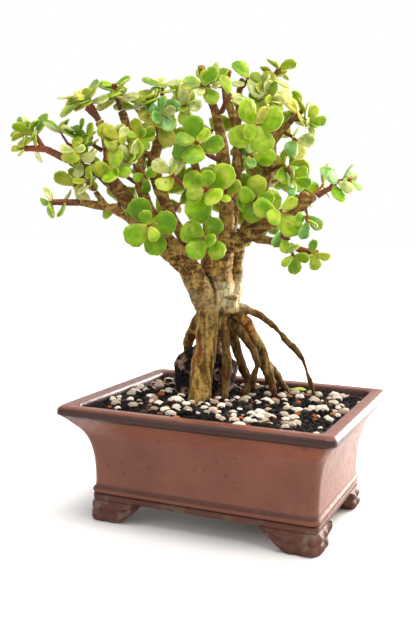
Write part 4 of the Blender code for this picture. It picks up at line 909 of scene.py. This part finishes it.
twig = {
    "voxel": 0.55, "smooth": 4, "knob": 2.2, "knobHigh": 0.25, "fatten": 0.3, "youngFrom": 30.0,
    # what a packed leaf shrinks to: length in mm, and shares of its width and thickness
    "stub": 2.6, "stubWide": 0.1, "stubThick": 0.3,
    # which of the points beside it shrink too, as shares of its length, and in mm over it
    "besideAlong": 0.5, "besideOut": 0.42, "besideOver": 1.6,
}
shoot = {
    # share of the leaves with a young pair at their foot, high in the crown and lower down
    "high": 0.34, "low": 0.13, "rosette": 0.06, "highFrom": 0.262,
    # shortest and longest young leaf in mm, how it leans and opens, and its height over the foot
    "leaf": (8.0, 15.0), "lean": (-0.3, 0.7), "open": (0.1, 1.1), "dish": 0.12, "over": 0.6,
}
leafScar = {"shortest": 16.5, "chance": 0.36}  # a round brown mark on some of the longer leaves
# cream and blue are partly the leaves' own tones and partly painted light: cream for lit tops, blue for a
# whitish sheen
leafTints = {
    "deep": rgb(92, 124, 4), "green": rgb(112, 146, 8), "olive": rgb(128, 130, 14),
    "lime": rgb(140, 162, 34), "yellow": rgb(178, 168, 70), "cream": rgb(196, 194, 126),
    "blue": rgb(118, 164, 92),
}


def modelBlade():
    rows = len(blade["rows"])
    bpy.ops.mesh.primitive_grid_add(x_subdivisions=rows - 1, y_subdivisions=blade["columns"], size=2,
                                    location=(0, 0, 0))
    leaf = bpy.context.object
    flat = pointsOf(leaf)
    rowOf = np.round((flat[:, 0] + 1) * (rows - 1) / 2).astype(int)
    edge = np.abs(flat[:, 1]) > 0.99
    editing(True)
    for row, (along, half, back) in enumerate(blade["rows"]):
        pick(leaf, lambda vertex: rowOf[vertex.index] == row)
        bpy.ops.transform.resize(value=(1, half, 1))
        bpy.ops.transform.translate(value=(along - (row * 2 / (rows - 1) - 1), 0, 0))
        if back:
            pick(leaf, lambda vertex: rowOf[vertex.index] == row and edge[vertex.index])
            bpy.ops.transform.translate(value=(back, 0, 0))
    editing(False)
    finishWith(leaf, "SOLIDIFY", thickness=1.0, offset=0.0)
    count = len(rowOf)
    outline = (rowOf == 0) | (rowOf == rows - 1) | edge
    editing(True)
    pick(leaf, lambda vertex: outline[vertex.index % count])
    bpy.ops.transform.resize(value=(1, 1, blade["rim"]), center_override=(0, 0, 0))
    facesOut()
    editing(False)
    return (*takeShape(leaf), np.tile(outline, 2).astype(float))


bladePoints, bladeFaces, bladeRim = modelBlade()
# 1 at the middle of a blade, falling off within a tenth of its length
bladeMiddle = np.exp(-((bladePoints[:, 0] - 0.5) ** 2 + bladePoints[:, 1] ** 2 * 0.2) / 0.01)
print("one blade has", len(bladeFaces), "faces")


def tipFit(flat, tip, axis):
    # how many of a leaf's four side corners are there, were this corner its tip
    length = flat[tip].length / packedLeaf["beyond"]
    heading = flat[tip].normalized()
    side = axis.cross(heading)
    fit = 0
    for along, out in packedLeaf["sides"]:
        wanted = heading * (along - packedLeaf["middle"]) * length
        wanted += side * out * length * blade["width"] / 2
        miss = min((place - wanted).length for place in flat.values())
        fit += max(0, 1 - miss / (packedLeaf["cornerError"] * mm))
    return fit


def readLeaves(shaped):
    # a packed leaf shows as two middles, one over the other, both joined to the same rim corners
    beside = [{edge.other_vert(vertex).index for edge in vertex.link_edges} for vertex in shaped.verts]
    found = []
    for first in shaped.verts:
        for second in list(shaped.verts)[first.index + 1:]:
            rim = beside[first.index] & beside[second.index]
            error = abs((first.co - second.co).length - packedLeaf["apart"] * mm)
            if error > packedLeaf["apartError"] * mm or len(rim) < 3:
                continue
            middle = (first.co + second.co) / 2
            axis = (first.co - second.co).normalized()
            reach = {k: shaped.verts[k].co - middle for k in rim}
            flat = {k: place - axis * place.dot(axis) for k, place in reach.items()}
            tip = max(flat, key=lambda k: tipFit(flat, k, axis))
            if tipFit(flat, tip, axis) < packedLeaf["enough"]:
                continue
            if flat[tip].length < packedLeaf["shortest"] * mm:
                continue
            # the upper middle is the nearer one to the rim
            face = axis if sum(place.dot(axis) for place in reach.values()) > 0 else -axis
            middle += face * packedLeaf["over"] * mm
            length = flat[tip].length / packedLeaf["beyond"]
            heading = flat[tip].normalized()
            dish = (shaped.verts[tip].co - middle).dot(face) / length / packedLeaf["dish"]
            found.append({"face": face, "heading": heading, "length": length, "dish": dish,
                          "root": middle - heading * packedLeaf["middle"] * length,
                          "corners": rim, "middles": (first.index, second.index)})
    return found


def growBlade(leaf, draw, narrowest):
    # the blade bent, turned and placed where the leaf is
    length = leaf["length"]
    wide = length * blade["width"] / 2 * draw.uniform(narrowest, 1.0)
    x, y, z = bladePoints.T
    bend = draw.uniform(-blade["bend"], blade["bend"])
    twist = draw.uniform(-blade["twist"], blade["twist"])
    tip = blade["tipLift"] * np.maximum(0, x - blade["tipFrom"])
    rise = leaf["dish"] * (y * y + tip) + bend * (x - 0.48) ** 2 + twist * y * (x - 0.3)
    side = leaf["face"].cross(leaf["heading"])
    thick = blade["thick"] * mm * (0.8 + 0.25 * min(1.0, length / (blade["grown"] * mm)))
    lift = rise * length + z * thick * (1 - 0.35 * np.abs(x - 0.5))
    return (np.array(leaf["root"]) + np.outer(x * length, leaf["heading"])
            + np.outer(y * wide, side) + np.outer(lift, leaf["face"]))


def drawIn(shaped, leaves):
    # each packed leaf shrinks to a short stub, so a closed twig is left
    for leaf in leaves:
        side = leaf["face"].cross(leaf["heading"])
        own = {*leaf["corners"], *leaf["middles"]}
        for vertex in shaped.verts:
            offset = vertex.co - leaf["root"]
            along, out, over = (offset.dot(way) for way in (leaf["heading"], side, leaf["face"]))
            near = along < twig["besideAlong"] * leaf["length"] and abs(over) < twig["besideOver"] * mm
            near = near and abs(out) < leaf["length"] * twig["besideOut"]
            if along < twig["stub"] * mm or not (vertex.index in own or near):
                continue
            vertex.co = leaf["root"] + leaf["heading"] * twig["stub"] * mm
            vertex.co += side * out * twig["stubWide"]
            vertex.co += leaf["face"] * over * twig["stubThick"]


def youngShoots(node, leaves, draw):
    # a pair of small leaves opens across a full leaf where it leaves the twig
    share = shoot["high"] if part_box(node)[1].z > shoot["highFrom"] else shoot["low"]
    share = shoot["rosette"] if "front_rosette" in node else share
    found = []
    for leaf in leaves:
        if draw.random() > share:
            continue
        up = (leaf["face"] + leaf["heading"] * draw.uniform(*shoot["lean"])).normalized()
        across = up.cross(leaf["heading"]).normalized()
        for sign in (-1, 1):
            heading = (across * sign + up * draw.uniform(*shoot["open"])).normalized()
            face = (up - heading * up.dot(heading)).normalized()
            length = draw.uniform(*shoot["leaf"]) * mm
            found.append({"face": face, "heading": heading, "length": length, "dish": shoot["dish"],
                          "root": leaf["root"] + up * shoot["over"] * mm})
    return found


def makeStems(shaped, leaves):
    # the knobbly twig of one spray
    drawIn(shaped, leaves)
    data = bpy.data.meshes.new("twig")
    shaped.to_mesh(data)
    stems = addObject("twig", data)
    remesh(stems, twig["voxel"], twig["smooth"])
    points, outward = pointsOf(stems), normalsOf(stems)
    knobs = np.array([noise.noise(Vector(place) / mm / twig["knob"]) for place in points])
    setPoints(stems, points + outward * (knobs[:, None] * twig["knobHigh"] + twig["fatten"]) * mm)
    return stems


def leafFinish():
    made, shader = newFinish("leafSkin", Roughness=0.38, Subsurface_Weight=0.08, Subsurface_Scale=0.003,
                             Specular_IOR_Level=0.12, Coat_Weight=0.1, Coat_Roughness=0.2)
    shader.inputs["Subsurface Radius"].default_value = (0.6, 1.0, 0.25)
    tint, rim, along = stored(made, "leafTint", "Color"), stored(made, "leafRim"), stored(made, "leafAlong")
    place = coords(made)
    broad = grain(made, place, 62.0, 3.0)
    mottle = grain(made, place, 150.0, 4.0)
    speck = grain(made, place, 900.0, 2.0)
    # painted shade in the middle, painted light and shade in broad patches, and paler at the rim and
    # towards the root, there partly the leaf's own colour and partly painted light
    shadedCore = times(made, band(made, rim, 0.75, 0.0), band(made, mottle, 0.66, 0.36))
    colour = layered(
        made, tint,
        # painted shade in the middle of each leaf
        (shadedCore, 0.75, rgb(66, 112, 2)),
        # painted light and shade as broad pale and dark patches
        (band(made, broad, 0.50, 0.68), 0.5, rgb(186, 184, 74)),
        (band(made, broad, 0.48, 0.34), 0.6, rgb(60, 100, 10)),
        # paler towards the root: partly the leaf's own paler base, partly painted light
        (band(made, along, 0.3, 0.05), 0.5, rgb(176, 176, 72)),
        (band(made, speck, 0.64, 0.72), 0.2, rgb(180, 186, 110)),
        # paler rim: partly the leaf's own pale edge, partly a painted highlight
        (band(made, rim, 0.80, 1.0), 0.6, rgb(178, 176, 88)),
        (band(made, stored(made, "leafScar"), 0.55, 0.8), 0.8, rgb(122, 92, 44)))
    feed(made, colour, shader.inputs["Base Color"])
    bumped(made, shader, broad, 0.0016, 0.35, bumped(made, shader, mottle, 0.0007, 0.4))
    return made


def twigFinish():
    made, shader = newFinish("redTwig", Roughness=0.6, Specular_IOR_Level=0.2)
    rings = grain(made, coords(made, (1, 1, 2.2)), 420.0, 4.0)
    patch = grain(made, coords(made), 150.0)
    colour = mixed(made, band(made, stored(made, "young"), 0.1, 0.9), rgb(84, 50, 28), rgb(130, 62, 38))
    colour = mixed(made, band(made, rings, 0.56, 0.7), colour, rgb(150, 96, 58))
    colour = mixed(made, band(made, patch, 0.55, 0.72), colour, rgb(98, 84, 34))
    feed(made, colour, shader.inputs["Base Color"])
    bumped(made, shader, rings, 0.0006, 0.6)
    return made


leafSkin = leafFinish()
redTwig = twigFinish()
# the height and the place, in metres, that part the crown, and how a leaf's brightness varies
crown = {"upperFrom": 0.285, "leftOf": -0.06, "bright": (0.85, 1.5)}
# the mixes carry painted light in part: more cream and yellow on the upper crown and more pale blue on the
# right
leafMix = {
    "front": ("deep", "green", "deep", "green", "green", "lime"),
    "upper": ("olive", "lime", "cream", "deep", "yellow", "green", "cream"),
    "left": ("green", "olive", "lime", "deep", "cream", "olive"),
    "right": ("green", "lime", "blue", "green", "blue", "cream"),
    "back": ("green", "deep", "olive", "lime"),
}
mixOf = {
    "spray_front_rosette_high": ("yellow", "lime", "green", "lime"),
    "spray_coral_centre": ("cream", "lime", "yellow"),
    "spray_coral_tip": ("cream", "yellow", "blue"),
    "spray_thin_limb_tip": ("cream", "lime", "blue"),
    "spray_hanging_pair": ("blue", "lime", "green"),
    "spray_right_leaves": ("green", "blue", "lime"),
    "spray_right_inner": ("blue", "olive", "green"),
    "spray_centre_left_rosette": ("cream", "lime", "green"),
    "spray_limb_top": ("lime", "cream", "green"),
}


def tonesOf(node):
    # the crown's front, back, top, left and right each have their own mix
    low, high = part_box(node)
    middle = (low + high) / 2 - potMiddle
    if "_back_" in node:
        return leafMix["back"]
    if "front_rosette" in node:
        return mixOf.get(node, leafMix["front"])
    area = "left" if middle.x < crown["leftOf"] else "right"
    area = "upper" if middle.z > crown["upperFrom"] else area
    return mixOf.get(node, leafMix[area])


def dress(piece, tints, rims, alongs, scars, kinds):
    # what leafSkin reads, and each face's finish: 0 for twig, 1 for leaf
    store(piece, "leafTint", tints, "FLOAT_COLOR")
    store(piece, "leafRim", rims)
    store(piece, "leafAlong", alongs)
    store(piece, "leafScar", scars)
    piece.data.polygons.foreach_set("material_index", np.array(kinds, np.int32))
    only(piece)
    bpy.ops.object.shade_smooth()


def makeSpray(node, seed):
    draw = random.Random(seed)
    shaped = solidOf(node)
    leaves = readLeaves(shaped)
    stems = makeStems(shaped, leaves)
    shaped.free()
    leaves += youngShoots(node, leaves, draw)
    stemPoints, faces = takeShape(stems)
    points, stemCount, count = [stemPoints], len(faces), len(stemPoints)
    # the twig has a finish of its own, so its tint and rim aren't seen
    tints = [(0.2, 0.1, 0.05, 1)] * count
    blank = np.zeros(count)
    near = np.array([woodSurface.find_nearest(Vector(place))[3] for place in stemPoints])
    names = tonesOf(node)
    narrowest = blade["round" if "front_rosette" in node else "slim"]
    for leaf in leaves:
        grown = growBlade(leaf, draw, narrowest)
        tint = np.array(leafTints[names[draw.randrange(len(names))]])
        tint[:3] *= draw.uniform(*crown["bright"])
        points.append(grown)
        faces += [tuple(k + count for k in face) for face in bladeFaces]
        count += len(grown)
        tints += [tuple(tint)] * len(grown)
    made = pieceFrom(node.replace("spray_", "sprig_"), np.vstack(points), faces)
    setPoints(made, np.vstack(points))
    shortest, chance = leafScar["shortest"] * mm, leafScar["chance"]
    marked = [leaf["length"] > shortest and draw.random() < chance for leaf in leaves]
    young = np.zeros(count)
    young[:len(near)] = np.clip(near / (twig["youngFrom"] * mm), 0, 1)
    store(made, "young", young)
    made.data.materials.append(redTwig)
    made.data.materials.append(leafSkin)
    dress(made, tints, np.concatenate([blank, *[bladeRim] * len(leaves)]),
          np.concatenate([blank, *[bladePoints[:, 0]] * len(leaves)]),
          np.concatenate([blank, *[bladeMiddle * mark for mark in marked]]),
          [0] * stemCount + [1] * (len(faces) - stemCount))
    hand(made, leafSkin, "leaf", node)
    return len(leaves), len(faces)


total = [0, 0]
for seed, node in enumerate(sorted(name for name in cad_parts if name.startswith("spray_"))):
    leaves, faces = makeSpray(node, seed)
    total[0] += leaves
    total[1] += faces
print("sprays are in leaf:", total[0], "leaves,", total[1], "faces")


shed = {"length": 13.0, "dish": 0.05, "seed": 5}


def makeFallenLeaf():
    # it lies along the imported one, with its tip to the right
    shaped = solidOf("fallen_leaf")
    places = np.array([tuple(vertex.co) for vertex in shaped.verts])
    shaped.free()
    middle = Vector((places.min(axis=0) + places.max(axis=0)) / 2)
    spread = places[:, :2] - np.array(middle)[:2]
    far = spread[np.argmax(np.linalg.norm(spread, axis=1))]
    heading = Vector((far[0], far[1], 0.0)).normalized()
    if heading.x < 0:
        heading = -heading
    length = shed["length"] * mm
    leaf = {"root": middle - heading * length / 2, "heading": heading, "face": Vector((0, 0, 1)),
            "length": length, "dish": shed["dish"]}
    grown = growBlade(leaf, random.Random(shed["seed"]), blade["slim"])
    made = pieceFrom("shedLeaf", grown, bladeFaces)
    made.data.materials.append(leafSkin)
    dress(made, [leafTints["lime"]] * len(grown), bladeRim, bladePoints[:, 0], np.zeros(len(grown)),
          [0] * len(bladeFaces))
    hand(made, leafSkin, "leaf", "fallen_leaf")


makeFallenLeaf()
print("shed leaf lies on the grit")
